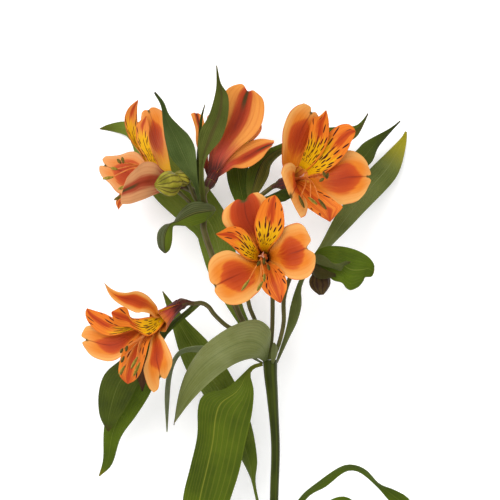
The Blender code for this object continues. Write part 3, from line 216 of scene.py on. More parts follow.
# %% [markdown]
# ## Blades
#
# A leaf or a petal could be cut out of a plane with a picture of it, but then it stays flat and its edge
# is a row of stairs. Here a grid is bent so that its two long sides lie on the two edges of the blade.
# The grid's own lines then run the way the veins do. Its UV map says how far along and across the blade
# each spot is, and the skins below use that. Solidify gives the thickness, thinner at the rim, as on the
# real leaf, and puts the second skin on the far side.

# %% A sheet laid over a blade
RIM_TAPER, TIP_TAPER, TIP_SHARE, THIN_SHARE = 2.5, 8, 0.1, 0.35
SHARP_ANGLE = math.radians(60)


def new_grid(bm, across, rows):
    """Adds a flat grid. Gives back its points, its faces, the UV map and the layer of marking numbers."""
    uv = bm.loops.layers.uv.verify()
    marking = bm.verts.layers.float.get("marking") or bm.verts.layers.float.new("marking")
    verts = bmesh.ops.create_grid(bm, x_segments=across, y_segments=rows, size=1.0)["verts"]
    return verts, {face for vert in verts for face in vert.link_faces}, uv, marking


def lay_sheet(bm, place, across, steps, skin=0, number=0.0):
    """Adds one bent grid, with its UV map, its skin and a number that shifts its markings."""
    body = bm.verts.layers.deform.verify()
    verts, faces, uv, marking = new_grid(bm, across, steps)
    for face in faces:
        face.material_index = skin
        face.smooth = True
        for loop in face.loops:
            loop[uv].uv = ((loop.vert.co.y + 1) / 2, (loop.vert.co.x + 1) / 2)
    for vert in verts:
        s, t = (vert.co.y + 1) / 2, vert.co.x
        vert[marking] = number
        vert[body][0] = min(1.0, RIM_TAPER * (1 - abs(t)), TIP_TAPER * (1 - s) + TIP_SHARE)
        vert.co = placed(place(s, t))


def blade_piece(name, bm, thickness, skins):
    """The finished piece: the sheets with their thickness, sharp only at the rim."""
    piece = mesh_object(name, bm, skins)
    piece.vertex_groups.new(name="body")
    solid = piece.modifiers.new("thickness", "SOLIDIFY")
    solid.thickness = thickness * MM
    solid.offset = 0.0
    solid.vertex_group = "body"
    solid.thickness_vertex_group = THIN_SHARE
    solid.material_offset = 1
    solid.material_offset_rim = 0
    return made_real(piece)


def made_real(piece):
    """Turns a piece with modifiers into plain mesh, so its place and skin no longer change."""
    graph = bpy.context.evaluated_depsgraph_get()
    mesh = bpy.data.meshes.new_from_object(piece.evaluated_get(graph))
    mesh.name = piece.name
    piece.modifiers.clear()
    piece.data = mesh
    mesh.set_sharp_from_angle(angle=SHARP_ANGLE)
    return piece


made = []


def stand_in(piece, node):
    """The piece takes the place of a plain solid."""
    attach(piece, "root")
    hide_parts(node)
    made.append(piece.name)


# %% [markdown]
# ## Rods
#
# Stalks, filaments, anthers and the stem are round. Each is a grid too, rolled into a rod along a line:
# the two long sides meet and are merged, and both ends close in one point. A bevelled curve would be
# shorter to write, but it has no ribs, and the ovaries and buds of this flower do.

# %% A grid rolled into a rod
LOOK_AHEAD = 0.01
MERGE_DISTANCE = 0.000001


def rod_frames(line, rows):
    """Points along a line with two side directions that turn as little as they can."""
    side = (along(line, LOOK_AHEAD) - line[0]).normalized().orthogonal().normalized()
    frames = []
    for row in range(rows + 1):
        s = row / rows
        ahead = (along(line, s + LOOK_AHEAD) - along(line, s - LOOK_AHEAD)).normalized()
        side = (side - ahead * side.dot(ahead)).normalized()
        frames.append((along(line, s), side, ahead.cross(side)))
    return frames


def roll_rod(bm, points, radii, around, rows, ribs=0, depth=0.0, skin=0, end_skin=None, number=0.0):
    """Adds one rod. Its radius follows the listed ones, and ribs raise it in rounds."""
    frames = rod_frames(even_line(points), rows)
    sizes = [Vector((radius, 0, 0)) for radius in radii]
    verts, faces, uv, marking = new_grid(bm, around, rows + 2)
    for face in faces:
        at_end = 1 - abs(face.calc_center_median().y) < 1 / (rows + 2)
        face.material_index = end_skin if at_end and end_skin is not None else skin
        face.smooth = True
        for loop in face.loops:
            s = ((loop.vert.co.y + 1) / 2 * (rows + 2) - 1) / rows
            loop[uv].uv = (min(max(s, 0), 1), (loop.vert.co.x + 1) / 2)
    for vert in verts:
        row = round((vert.co.y + 1) / 2 * (rows + 2)) - 1
        closed = row < 0 or row > rows
        row = min(max(row, 0), rows)
        angle = math.pi * vert.co.x
        point, side, up = frames[row]
        radius = 0 if closed else smooth_point(sizes, row / rows).x * (1 + depth * math.cos(ribs * angle))
        vert[marking] = number
        vert.co = placed(point + (side * math.cos(angle) + up * math.sin(angle)) * radius)
    bmesh.ops.remove_doubles(bm, verts=verts, dist=MERGE_DISTANCE)


def rod_piece(name, bm, skins):
    """The finished piece: its rods with their faces turned outwards."""
    bmesh.ops.recalc_face_normals(bm, faces=bm.faces)
    piece = mesh_object(name, bm, skins)
    piece.data.set_sharp_from_angle(angle=SHARP_ANGLE)
    return piece


# %% [markdown]
# ## Skins
#
# Every skin is worked out from where a spot is on its blade, never from a picture. The output of each
# node is kept as a wire, and plain sums with wires add the nodes that work them out. A skin starts with
# one colour and gets further colours in coats, each with a share that says where it lies.

# %% Helpers for the skins
LIGHT_ON_TOP = 1.4


def rgb(red, green, blue):
    """The linear colour that looks like these 0 to 255 values once the studio light falls on it."""
    parts = [n / 255 for n in (red, green, blue)]
    linear = [n / 12.92 if n <= 0.04045 else ((n + 0.055) / 1.055) ** 2.4 for n in parts]
    return (*[n / LIGHT_ON_TOP for n in linear], 1.0)


class Wire:
    """The output of a node. Sums with it add the nodes that work them out."""

    def __init__(self, skin, socket):
        self.skin, self.socket = skin, socket

    def out(self, name):
        """Another output of the same node."""
        return Wire(self.skin, self.socket.node.outputs[name])

    def ease(self, *values):
        """Goes softly from low to high while this goes from start to end: start, end, low, high."""
        return self.skin.add("MapRange", dict(enumerate((self, *values))), interpolation_type="SMOOTHSTEP")

    def __add__(self, other):
        return self.skin.maths("ADD", self, other)

    def __radd__(self, other):
        return self.skin.maths("ADD", other, self)

    def __sub__(self, other):
        return self.skin.maths("SUBTRACT", self, other)

    def __rsub__(self, other):
        return self.skin.maths("SUBTRACT", other, self)

    def __mul__(self, other):
        return self.skin.maths("MULTIPLY", self, other)

    def __truediv__(self, other):
        return self.skin.maths("DIVIDE", self, other)

    def __pow__(self, other):
        return self.skin.maths("POWER", self, other)

    def __abs__(self):
        return self.skin.maths("ABSOLUTE", self)


class Skin:
    """One material. s runs along its blade, t across it. middle is 0 on the midrib and 1 at the rims."""

    def __init__(self, name, colour, roughness=0.5, shine=0.12):
        self.material = bpy.data.materials.new(name)
        self.material.use_nodes = True
        self.tree = self.material.node_tree
        self.shader = self.tree.nodes["Principled BSDF"]
        self.feed(self.shader, {"Roughness": roughness, "Specular IOR Level": shine})
        self.colour = colour
        self.s = self.add("SeparateXYZ", {0: self.add("UVMap", {})})
        self.t = self.s.out("Y")
        self.middle = abs(self.t - 0.5) * 2.0
        self.place = self.add("TexCoord", {}).out("Object")
        self.number = self.add("Attribute", {}, attribute_name="marking").out("Fac")

    def feed(self, node, values):
        """Links or sets the sockets of a node. A triple is a colour of 0 to 255 values."""
        for socket, value in values.items():
            if isinstance(value, Wire):
                self.tree.links.new(value.socket, node.inputs[socket])
            else:
                node.inputs[socket].default_value = rgb(*value) if isinstance(value, tuple) else value

    def add(self, kind, values, **settings):
        """Adds a node and gives back its first output."""
        node = self.tree.nodes.new("ShaderNode" + kind)
        for setting, value in settings.items():
            setattr(node, setting, value)
        self.feed(node, values)
        return Wire(self, node.outputs[0])

    def maths(self, operation, *values):
        return self.add("Math", dict(enumerate(values)), operation=operation)

    def mix(self, share, one, other):
        return self.add("Mix", {0: share, 6: one, 7: other}, data_type="RGBA").out(2)

    def coat(self, colour, share):
        """Lays a colour over the ones before it."""
        self.colour = self.mix(share, self.colour, colour)

    def noise(self, where, scale, detail=3.0):
        return self.add("TexNoise", {"Vector": where, "Scale": scale, "Detail": detail})

    def spot(self, along, across):
        """A place on the blade, stretched, and shifted by the piece's own number."""
        return self.add("CombineXYZ", {0: self.s * along, 1: self.t * across, 2: self.number})

    def veins(self, count, wobble):
        """Lines that run the length of the blade, 0 between them and 1 on them."""
        bend = self.noise(self.spot(3.0, 3.0), 2.0) * wobble
        return self.maths("SINE", self.t * (count * 2 * math.pi) + bend).ease(0.2, 1.0)

    def ragged(self, along, across, size):
        """An uneven amount, drawn out along the blade, that frays the edge of a marking."""
        return (self.noise(self.spot(along, across), 1.6, 4.0) - 0.5) * size

    def finish(self, relief, height, **more):
        """Gives the material its colour and its low relief."""
        bump = self.add("Bump", {"Distance": height, "Height": relief})
        self.feed(self.shader, {"Base Color": self.colour, "Normal": bump, **more})
        return self.material


print("orange in linear light:", [round(n, 2) for n in rgb(240, 150, 75)[:3]])

# %% [markdown]
# ## Leaves
#
# The leaf of this flower turns over near its foot, so what shows from above is often the paler underside.
# Its veins run side by side from foot to tip. The skin has these lines twice: as a change of colour and
# as low ridges, because on the real leaf the ridges are what catches the light.

# %% Leaf skins
LEAF_RELIEF = 0.00015
# Painted shade: a dark brown band down the crease of a folded leaf, where its two halves meet
FOLD_SHADE = (52, 40, 24)


def leaf_skin(name, deep, light, rib, tip, veins=12, rib_width=0.035, tip_start=0.94, roughness=0.45,
              shine=0.12, other_half=None):
    """Patches and streaks of two greens, veins and a midrib, a pale foot and a tip of its own colour."""
    skin = Skin(name, deep, roughness, shine)
    s, middle = skin.s, skin.middle
    streaks = skin.noise(skin.spot(1.6, 16.0), 1.0, 4.0).ease(0.3, 0.7)
    skin.coat(light, skin.noise(skin.place, 38.0, 5.0).ease(0.32, 0.68))
    skin.coat(light, streaks * 0.35)
    if other_half:
        skin.coat(skin.mix(streaks, *other_half), skin.t.ease(0.47, 0.5))
        # painted shade, dark brown in the crease between the two halves
        skin.coat(FOLD_SHADE, skin.t.ease(0.4, 0.47) * skin.t.ease(0.56, 0.49) * 0.8)
    lines, fine = skin.veins(veins, 2.5), skin.veins(veins * 3, 4.0)
    skin.coat(rib, lines * 0.16)
    skin.coat(deep, fine * 0.16)
    skin.coat(rib, middle.ease(rib_width, rib_width * 0.3, 0.0, 0.6))
    skin.coat(light, middle.ease(0.94, 1.0, 0.0, 0.5))
    skin.coat(rib, s.ease(0.16, 0.0, 0.0, 0.6))
    skin.coat(tip, s.ease(tip_start, 1.0, 0.0, 0.9))
    ridge = lines + fine * 0.4 + skin.noise(skin.place, 900.0, 2.0) * 0.4
    gloss = skin.noise(skin.place, 220.0, 2.0).ease(0.2, 0.8, roughness - 0.08, roughness + 0.1)
    return skin.finish(ridge, LEAF_RELIEF, Roughness=gloss)


# The base colour, the lighter one over it, the veins and midrib, and the tip
LEAF_COLOURS = {
    "deep": ((52, 64, 6), (82, 96, 18), (112, 122, 52), (86, 80, 24)),
    "bright": ((64, 84, 2), (98, 120, 10), (132, 144, 56), (150, 140, 30)),
    "broad": ((62, 80, 2), (92, 110, 12), (152, 152, 50), (96, 92, 30)),
    "pale": ((106, 114, 46), (142, 148, 92), (84, 98, 36), (150, 138, 50)),
    "grey": ((74, 84, 28), (110, 118, 60), (128, 134, 84), (100, 84, 40)),
    # low: the greens of the bright skin made about a quarter lighter, painted light that offsets the shade
    # on leaves lying under others
    "low": ((84, 104, 12), (122, 138, 44), (142, 152, 72), (120, 120, 40)),
    "bluish": ((62, 80, 26), (98, 114, 56), (118, 128, 72), (70, 70, 34)),
    "brownish": ((64, 74, 14), (106, 114, 44), (88, 72, 36), (110, 110, 40)),
    "two_tone": ((70, 90, 8), (102, 120, 24), (140, 136, 60), (84, 70, 30)),
    "silver": ((134, 146, 92), (166, 176, 128), (120, 132, 76), (150, 160, 110)),
    "olive": ((52, 46, 14), (84, 78, 26), (70, 60, 30), (70, 50, 24)),
    "folded": ((84, 104, 8), (104, 122, 20), (140, 144, 70), (100, 100, 56)),
    "yellow_tip": ((90, 102, 34), (124, 134, 66), (146, 152, 96), (204, 188, 24)),
    "withered": ((62, 38, 18), (96, 62, 34), (120, 84, 50), (44, 28, 16)),
}
LEAF_EXTRAS = {
    "pale": dict(veins=15, roughness=0.4, shine=0.18),
    "brownish": dict(rib_width=0.3),
    "two_tone": dict(other_half=((74, 76, 14), (110, 106, 34))),
    "folded": dict(other_half=((66, 72, 34), (106, 114, 76))),
    "yellow_tip": dict(tip_start=0.82),
}
LEAF_SKINS = {name: leaf_skin("leaf_" + name, *colours, **LEAF_EXTRAS.get(name, {}))
              for name, colours in LEAF_COLOURS.items()}
print("leaf skins:", len(LEAF_SKINS))

# %% [markdown]
# Each leaf is listed by its two edges, from foot to tip, in millimetres from the whorl. The first skin is
# the one that faces up where the edges run left and right, and the second is its other side.

# %% The edges of the leaves
LEAVES = {
    "leaf_front": dict(
        left="-3.5 2 3.9, -7.5 4 9, -15.5 2.5 15, -23.5 -1.5 19, -33.5 -9.5 20, -44 -20.5 16, "
             "-53 -32.5 9",
        right="-1.5 3 4.2, 0 12 8, 0 20 12, -6.5 25 14, -15 24 15, -25.5 19 16, -37 10 15, -45 -1.5 14, "
              "-50 -15.5 12, -52.5 -33 9",
        bow=3.0, skins=("pale", "deep")),
    "leaf_broad": dict(
        left="-4 -0.5 1.5, -9 -2 7, -11 -5.5 11, -9 -14 12, -10 -27.5 9, -14 -44.5 3, -18.5 -64 -4, "
             "-27.5 -89 -13, -40.5 -110.5 -22",
        right="-4.5 1.5 2, -10 0 9, -15 -4.5 14, -24 -12.5 18, -36 -16 17, -39.5 -23.5 13, -40 -38.5 8, "
              "-44 -56.5 0, -48 -74 -7, -48 -92 -14, -41.5 -111 -22",
        bow=-2.0, shift=0.3, crease=1.4, wave=0.8, skins=("broad", "deep")),
    "leaf_rising": dict(
        left="-1 -100 -19.2, -7.5 -76 -17, -10 -64.5 -16, -16.5 -51 -16, -27.5 -31.5 -17, "
             "-39.5 -12.5 -18, -46 -3.5 -18, -50.5 8 -17, -54 21 -15, -59.5 40.5 -12",
        right="0 -99.5 -19.2, -6 -76 -17, -8 -64 -15, -7 -52.5 -13, -10 -34 -12, -16.5 -15.5 -12, "
              "-25 0 -13, -34 12.5 -14, -46.5 25 -14, -54 34.5 -13, -59 40.5 -12",
        # The low skin is painted light: lighter greens against the shade that falls on this leaf
        bow=2.0, skins=("low", "deep")),
    "leaf_narrow": dict(
        left="-4 1.5 -2.2, -19 10 -4, -36 10.5 -3, -44 10 -3, -50.5 7.5 -3, -54.5 1 -4, -57 -7 -5, "
             "-58 -19 -6, -57 -37 -7",
        right="-4 0.5 -3, -19 7 -9, -36 6.5 -11, -44 7 -12, -49 5.5 -11.5, -52.5 0 -11.5, -54.5 -8 -11, "
              "-55.5 -20.5 -10, -56.5 -37 -7.5",
        bow=0.6, skins=("silver", "silver")),
    "leaf_back_left": dict(
        left="-2 1.5 -4.8, -15 19 -11, -25 34 -16, -33.5 49.5 -19, -38.5 64.5 -22, -40.5 71 -24, "
             "-48 77.5 -26, -64.5 93 -30, -72.5 108.5 -34, -78 125 -38, -86.5 129 -41, -94.5 130.5 -41.6",
        right="-0.5 2 -4.8, -10 20.5 -11, -15.5 34 -16, -18 48.5 -18, -19 63.5 -20, -22 78.5 -22, "
              "-30.5 93 -24, -44 110 -28, -58 125 -33, -69 133.5 -37, -80.5 135 -40, -89.5 133.5 -41.4, "
              "-95 131 -41.6",
        # The low skin is painted light: lighter greens against the shade that falls on this leaf
        bow=1.5, skins=("low", "grey")),
    "leaf_back_right": dict(
        left="3.2 2 -3.4, 8 16.5 -7, 10 25 -9, 11.5 33 -11, 15 44 -14, 21 56.5 -17, 27.5 65.5 -19, "
             "36.5 82.5 -22, 45 94.5 -26, 52.5 105 -30, 63.5 116 -35, 73 125.5 -40, 75.5 129.5 -41.6",
        right="4.2 1 -3.2, 11 15.5 -8, 15 23.5 -10, 17.5 33 -12, 17.5 43 -16, 23 53.5 -19, 35 66.5 -22, "
              "44 75.5 -24, 53 85 -27, 68 100.5 -32, 73 109.5 -35, 76 122 -40, 76.5 129 -41.6",
        bow=1.2, skins=("yellow_tip", "grey")),
    "leaf_right": dict(
        left="-7.7 90 -4.7, 11 99 -13, 30.5 110 -17, 46 117 -19, 52.5 123 -20, 66 130.5 -22, 72 135 -24",
        right="-7.8 89 -4.7, 12 92 -14, 33 99 -19, 48.5 106 -22, 56.5 112 -22, 60 120 -22, "
              "67 128.5 -23, 72.5 134.5 -24",
        bow=1.0, skins=("deep", "grey")),
    "leaf_olive": dict(
        left="-11.8 88.9 -4.4, -13 96 -6.5, -13 102 -8, -11.5 109 -10, -4.5 117 -11, 6 122 -12, "
             "22 129 -13, 38.5 131.5 -14, 47 132 -15, 51.5 135.5 -16, 54 139 -17",
        right="-10.4 88.6 -4.9, -9 92 -6.5, -6 95 -8, -1 103.5 -10, 1.5 111.5 -12, 11 118.5 -13, "
              "27.5 121 -15, 41 122.5 -16, 47.5 125.5 -17, 51 131 -17, 54.5 138.5 -17",
        bow=0.8, wave=0.6, skins=("two_tone", "grey")),
    "leaf_dark": dict(
        left="-12.6 82 -5.5, -17.5 87 -9, -22 96.5 -12, -24 106 -14, -23 115.5 -16, -19 125 -18",
        right="-11.6 82.5 -5.5, -10.5 89.5 -11, -11 99.5 -14, -12 109 -16, -15 118.5 -17, -18.5 125 -18",
        bow=1.0, skins=("bright", "deep")),
    "leaf_hanging_back": dict(
        left="-38.2 33 2.7, -41.5 30 -0.5, -45 27 -2, -52.5 20.8 -4, -59.5 12.5 -7, -60 3 -10, "
             "-62 -6.5 -12, -67 -17.5 -15, -74 -28.5 -17, -82.5 -40.5 -21, -87.5 -55.5 -26, "
             "-94.5 -62.5 -29",
        right="-39.6 34 2.3, -43 31.8 -0.5, -47 28.8 -2, -55 23 -4, -63 16 -7, -70 7 -10, -78 -1.5 -12, "
              "-85 -11 -15, -89.5 -22 -17, -92 -37 -20, -92.5 -52.5 -25, -95 -62 -29",
        bow=1.5, wave=0.5, skins=("bright", "deep")),
    "leaf_hanging_front": dict(
        left="-40.9 34.2 3.4, -44 30 2.4, -54 20.5 1, -62 7 -1, -69 -4 -4, -75 -15 -6, -81.5 -27 -9, "
             "-89 -37 -12",
        right="-42.2 34.6 3.4, -45 31.2 2.4, -55 23.5 1, -67 15 -1, -82 3 -4, -91 -5 -6, -94.5 -16 -8, "
              "-94 -28 -11, -90 -36.5 -12",
        bow=1.5, skins=("deep", "bright")),
    "leaf_low_right": dict(
        left="5.2 -99.5 -19.5, 10 -85 -16, 17 -73 -13, 25.5 -65.5 -10, 37.5 -57 -8, 45 -55 -7, "
             "53 -58 -7.5, 60 -65.5 -9, 69.5 -69.5 -11, 77.5 -75 -13, 85.5 -90 -17",
        right="5.2 -101 -20.3, 12 -87.5 -18, 21 -73.5 -16, 31 -67.5 -14, 39.5 -60.5 -12, 45 -58.5 -12, "
              "51 -60.5 -12, 59.5 -68 -13, 66.5 -76 -14, 76 -84.5 -16, 85 -91 -17",
        bow=-0.8, skins=("bright", "deep")),
    "leaf_low_back": dict(
        left="4.2 -124.5 -25, 13.5 -100.5 -21, 26.5 -80.5 -18, 39.5 -73 -17, 49.5 -79 -18, "
             "58 -96.5 -22, 63.5 -115.5 -27",
        right="4.2 -126 -25.8, 17.5 -106.5 -24, 28.5 -90 -23, 39.5 -82 -22, 45.5 -87.5 -22, "
              "52.5 -100.5 -24, 63 -116 -27",
        bow=0.8, skins=("bright", "deep")),
    "bract_top": dict(
        left="-35.9 87.2 8.6, -37.5 89.5 13, -38.4 96 15.8, -38.8 104 15.6, -39 113 13.5, "
             "-39.5 120.5 13.5, -38.5 128 14, -34 136 15.5, -31.5 143 17, -29.5 152.5 19, -29.5 164 23",
        right="-34.4 87.2 8.4, -35.4 89.5 13.4, -35.8 96 16.2, -36.3 104 15.8, -36 110.5 14.8, "
              "-33 116.5 14.5, -26.5 124.5 17, -23 136.5 19, -23 147.5 20, -27 154.5 21.5, -29 164 23",
        bow=-1.5, crease=1.4, skins=("brownish", "deep")),
    "bract_left": dict(
        left="-38.4 86.6 8.2, -39.8 91 12.4, -42.5 100 16, -49.5 108 19, -54.5 114 21, -57 122 21, "
             "-58.5 132 23, -59.5 141.5 24.5, -63.5 149 26",
        right="-37 87.4 8.6, -38.4 92 13, -39.8 104 16, -41 118.5 16, -44.5 126 17, -49.5 131 19.5, "
              "-55 137 22, -58 144 24.5, -62.5 149.5 26",
        bow=-1.2, crease=1.4, skins=("bluish", "deep")),
    "bract_thin": dict(
        left="-37.2 88 3.2, -38.5 96 1.5, -40.5 107.5 4.5, -39.5 124 10, -38.4 135 11, -36 143 10",
        right="-36.2 88.4 3, -37 96 1.5, -38.8 107.5 4.5, -37.6 124 10, -37 135 11, -35.5 143 10",
        skins=("deep", "bright")),
    "bract_curled": dict(
        left="-32.4 84.4 5.5, -31.5 82.5 9.5, -36.5 78.5 12.5, -44 76.5 15, -50 76.6 15, -52.8 76.4 14, "
             "-53.4 74 13, -53.7 68 12, -55 63.5 10, -57 61.5 9.5",
        right="-32.4 86.4 5.8, -31 87.5 10, -36 89.5 12.3, -43 89.5 13, -48 86 13.5, -51.3 81.3 14, "
              "-53.3 78 13.5, -57.5 77.3 13, -61 74 12, -62 69.5 11, -61 64.5 10, -58 61.5 9.5",
        bow=3.0, crease=1.3, skins=("folded", "deep")),
    "bract_right_large": dict(
        left="22.9 59.3 9.2, 27.5 64 10, 35 65.6 11, 45.8 63.8 12, 53.2 60 12, 56.8 55.7 11.5, "
             "57.2 52.5 11",
        right="23.1 58 8.7, 27.5 53.5 11, 34 47 13, 39.2 45.3 14, 41.5 42.5 13.5, 44.3 41.2 13, "
              "48.8 43.3 12.5, 51.2 46.5 12, 52 48.3 12, 55.5 48.6 11.5, 57 51 11",
        bow=-1.0, wave=0.5, skins=("bright", "deep")),
    "bract_right_small": dict(
        left="21.7 59.5 10.7, 26 61 14.5, 30.5 59.5 16, 34.3 56 17.5, 38 56 17, 41.5 57.2 17, 44 56.8 17",
        right="21.9 57.9 10.7, 25 56 14, 29 54.5 16, 35 53 17, 38.5 51.7 17.5, 40.5 54.5 17, 43.5 56 17",
        bow=0.8, skins=("grey", "pale")),
    "bract_right_under": dict(
        left="23.3 57.3 7.4, 27 54.5 13.5, 31 52.2 15.5, 35.8 50.3 15.5",
        right="23.5 56.5 7.2, 23.5 50 11, 28 47.3 15, 36 48.8 15.5",
        bow=0.8, skins=("olive", "deep")),
    "bract_pink": dict(
        left="-5.5 92.2 -0.6, 2 93.5 2.8, 7.5 94.5 3, 11.5 93 4",
        right="-5.5 90.8 -0.9, 3 89.5 2.2, 8 90 3, 11.5 92 4",
        bow=0.5, skins=("deep", "bright")),
    "bract_withered": dict(
        left="-59 11 1.3, -65 -0.5 -0.7, -67.5 -7 -2.2, -70 -14.5 -3.7",
        right="-60.5 11.5 1.3, -69.5 1.5 -0.7, -73.5 -4 -2.2, -70.5 -14.5 -3.7",
        bow=0.8, skins=("withered", "withered")),
    "sheath": dict(
        left="0.8 1 4.6, 0.4 6 5, 1 10.5 5.6, 2 12.5 5.8",
        right="2 1 4.2, 4 6 4.4, 4 10 5, 2.5 12.5 5.8",
        bow=0.5, skins=("pale", "deep")),
}

# %% The leaves, laid between their edges
LEAF_ACROSS, LEAF_STEPS, LEAF_THICKNESS = 14, 44, 0.55
NEAR, WAVES, MARKING_STEP = 0.03, 2.5, 3.7


def between(left_line, right_line, s):
    """The two edges of a blade at one place, the way it runs there and the way its face looks."""
    a, b = along(left_line, s), along(right_line, s)
    ahead = along(left_line, s + NEAR) + along(right_line, s + NEAR)
    ahead = (ahead - along(left_line, s - NEAR) - along(right_line, s - NEAR)).normalized()
    return a, b, ahead, (b - a).cross(ahead).normalized()


def leaf_place(left, right, bow=0.0, shift=0.0, crease=2.0, wave=0.0):
    """The blade between two edges. bow lifts its middle, crease folds it and shift moves the midrib."""
    left_line, right_line = even_line(listed(left)), even_line(listed(right))

    def place(s, t):
        a, b, _, normal = between(left_line, right_line, s)
        swell = math.sin(math.pi * s) ** 0.7 if 0 < s < 1 else 0.0
        middle = 1 - abs(t) ** crease
        point = (a + b) / 2 + (b - a) * (t / 2 + shift * 0.5 * swell * middle)
        point += normal * bow * swell * middle
        return point + normal * wave * math.sin(2 * math.pi * WAVES * s) * swell * abs(t) ** 3

    return place


for number, (name, leaf) in enumerate(LEAVES.items()):
    shape = {key: value for key, value in leaf.items() if key != "skins"}
    bm = bmesh.new()
    lay_sheet(bm, leaf_place(**shape), LEAF_ACROSS, LEAF_STEPS, number=number * MARKING_STEP)
    piece = blade_piece("blade_" + name, bm, LEAF_THICKNESS, [LEAF_SKINS[skin] for skin in leaf["skins"]])
    stand_in(piece, name)
print("leaves and bracts:", len(LEAVES))

# %% [markdown]
# ## Petals
#
# Six petals make a flower: three broad ones with a notch and a deep orange patch, and three narrow ones
# that are yellow lower down and dashed with dark red, which guides insects to the nectar. The dashes
# could be painted one by one, but on the plant they are scattered too. Here every cell of a loose pattern
# holds one spot, stretched along the petal, and most cells are left empty.

# %% Petal skins
PETAL_RELIEF, FUNNEL_RELIEF = 0.00012, 0.00015
ORANGE, PEACH, PATCH, RED = (236, 132, 36), (249, 180, 98), (206, 76, 20), (170, 46, 8)
GOLD, FLAME, AMBER = (246, 186, 4), (206, 76, 14), (230, 128, 20)
CORAL, PURPLE, MOSS, MAROON = (196, 76, 56), (70, 34, 30), (62, 58, 18), (74, 14, 14)
FADED_PURPLE, FADED_MOSS = (150, 62, 46), (84, 74, 36)
RIM_RED, MIDLINE_RED, TIP_BROWN, VEIN_RED = (216, 78, 34), (110, 30, 12), (88, 72, 26), (150, 40, 24)
CELLS_ACROSS, CELLS_ALONG, SIDES_APART, CELL_SCATTER = 14.0, 6.2, 4.4, 0.7
DASH_LENGTH, DASH_WIDTH, DASH_GROWTH = 0.42, 0.016, 0.022
CLOSING = 0.95
NARROW_DASHES, FLAMED_DASHES = 0.86, 0.62


def finish_petal(skin, lines):
    """The relief of every petal: low veins over fine crumpled tissue."""
    return skin.finish(lines * 0.6 + skin.noise(skin.spot(14.0, 10.0), 3.0), PETAL_RELIEF)


def red_rim(skin):
    """A thin red edge that comes and goes along the rim of the petal."""
    share = skin.middle.ease(0.93, 1.0) * skin.noise(skin.spot(6.0, 1.0), 1.0).ease(0.4, 0.6)
    skin.coat(RIM_RED, share * 0.7)


def broad_skin(name, base, rim, patch, dark, throat, start=0.28, end=0.93, width=0.64, tip_width=0.18):
    """The inner face of a broad petal: pale rim, a patch that is soft near the throat, and a dark tip."""
    skin = Skin(name, base)
    s, middle = skin.s, skin.middle
    lines, uneven = skin.veins(10, 1.4), skin.ragged(2.5, 12.0, 0.3)
    height = s + uneven
    skin.coat(rim, (middle + uneven).ease(0.45, 1.0))
    skin.coat(rim, s.ease(0.82, 1.0, 0.0, 0.7))
    skin.coat(throat, lines * 0.12)
    skin.coat(throat, height.ease(0.55, 0.2, 0.0, 0.85))
    reach = s.ease(start, start + 0.28) * s.ease(end, end - 0.24) * width
    inside = reach + uneven - middle
    fade = height.ease(start, start + 0.36, 0.1, 1.0)
    skin.coat(patch, inside.ease(-0.05, 0.14, 0.0, 0.92) * fade)
    skin.coat(dark, inside.ease(0.05, 0.55, 0.0, 0.7) * fade)
    skin.coat(MIDLINE_RED, middle.ease(0.04, 0.015) * s.ease(0.55, 0.8, 0.0, 0.5))
    skin.coat(TIP_BROWN, middle.ease(tip_width, 0.04) * s.ease(0.93, 0.98))
    red_rim(skin)
    return finish_petal(skin, lines)


def dashes(skin, share):
    """Dark dashes, small near the throat and longer further out, fanning to both sides: 1 on a dash."""
    s, middle = skin.s, skin.middle
    from_rib, closing = skin.t - 0.5, 1.0 - s * CLOSING
    over = abs(from_rib) * closing * CELLS_ACROSS + skin.maths("GREATER_THAN", from_rib, 0.0) * SIDES_APART
    down = skin.maths("LOGARITHM", skin.maths("MAXIMUM", s, 0.1), math.e) * CELLS_ALONG
    where = skin.add("CombineXYZ", {0: down + skin.number, 1: over + skin.number})
    cells = skin.add("TexVoronoi", {"Vector": where, "Scale": 1.0, "Randomness": CELL_SCATTER},
                     voronoi_dimensions="2D")
    away = skin.add("VectorMath", {0: cells.out("Position"), 1: where}, operation="SUBTRACT")
    away = skin.add("SeparateXYZ", {0: away})
    half_width = (DASH_WIDTH + s * DASH_GROWTH) * CELLS_ACROSS
    round_spot = (away / DASH_LENGTH) ** 2.0 + (away.out("Y") / (closing * half_width)) ** 2.0
    kept = skin.maths("LESS_THAN", skin.add("SeparateColor", {0: cells.out("Color")}), share)
    return round_spot.ease(1.2, 0.7) * kept * middle.ease(0.96, 0.88)


def narrow_skin(name, base, gold, flame, dark, gold_end=0.66):
    """The inner face of a narrow petal: gold below, dark dashes over it, and a red flame near the tip."""
    skin = Skin(name, base)
    s, middle = skin.s, skin.middle
    lines, uneven = skin.veins(8, 1.4), skin.ragged(3.0, 14.0, 0.36)
    height = s + uneven
    low = height.ease(gold_end + 0.06, gold_end - 0.12)
    skin.coat(gold, low * (middle + uneven).ease(1.0, 0.65))
    skin.coat(flame, lines * 0.2)
    inside = height.ease(gold_end - 0.08, gold_end + 0.1) * 0.46 + uneven - middle
    skin.coat(flame, inside.ease(0.0, 0.22, 0.0, 0.95))
    skin.coat(dark, inside.ease(0.2, 0.5, 0.0, 0.7))
    bare_middle = s.ease(0.55, 0.68) * 0.24
    zone = s.ease(0.33, 0.37) * s.ease(0.95, 0.9)
    skin.coat(MAROON, dashes(skin, NARROW_DASHES) * zone * (middle - bare_middle).ease(0.0, 0.06))
    line = middle.ease(0.06, 0.03) * s.ease(0.46, 0.5) * s.ease(0.7, 0.66)
    skin.coat(MAROON, line)
    red_rim(skin)
    return finish_petal(skin, lines)


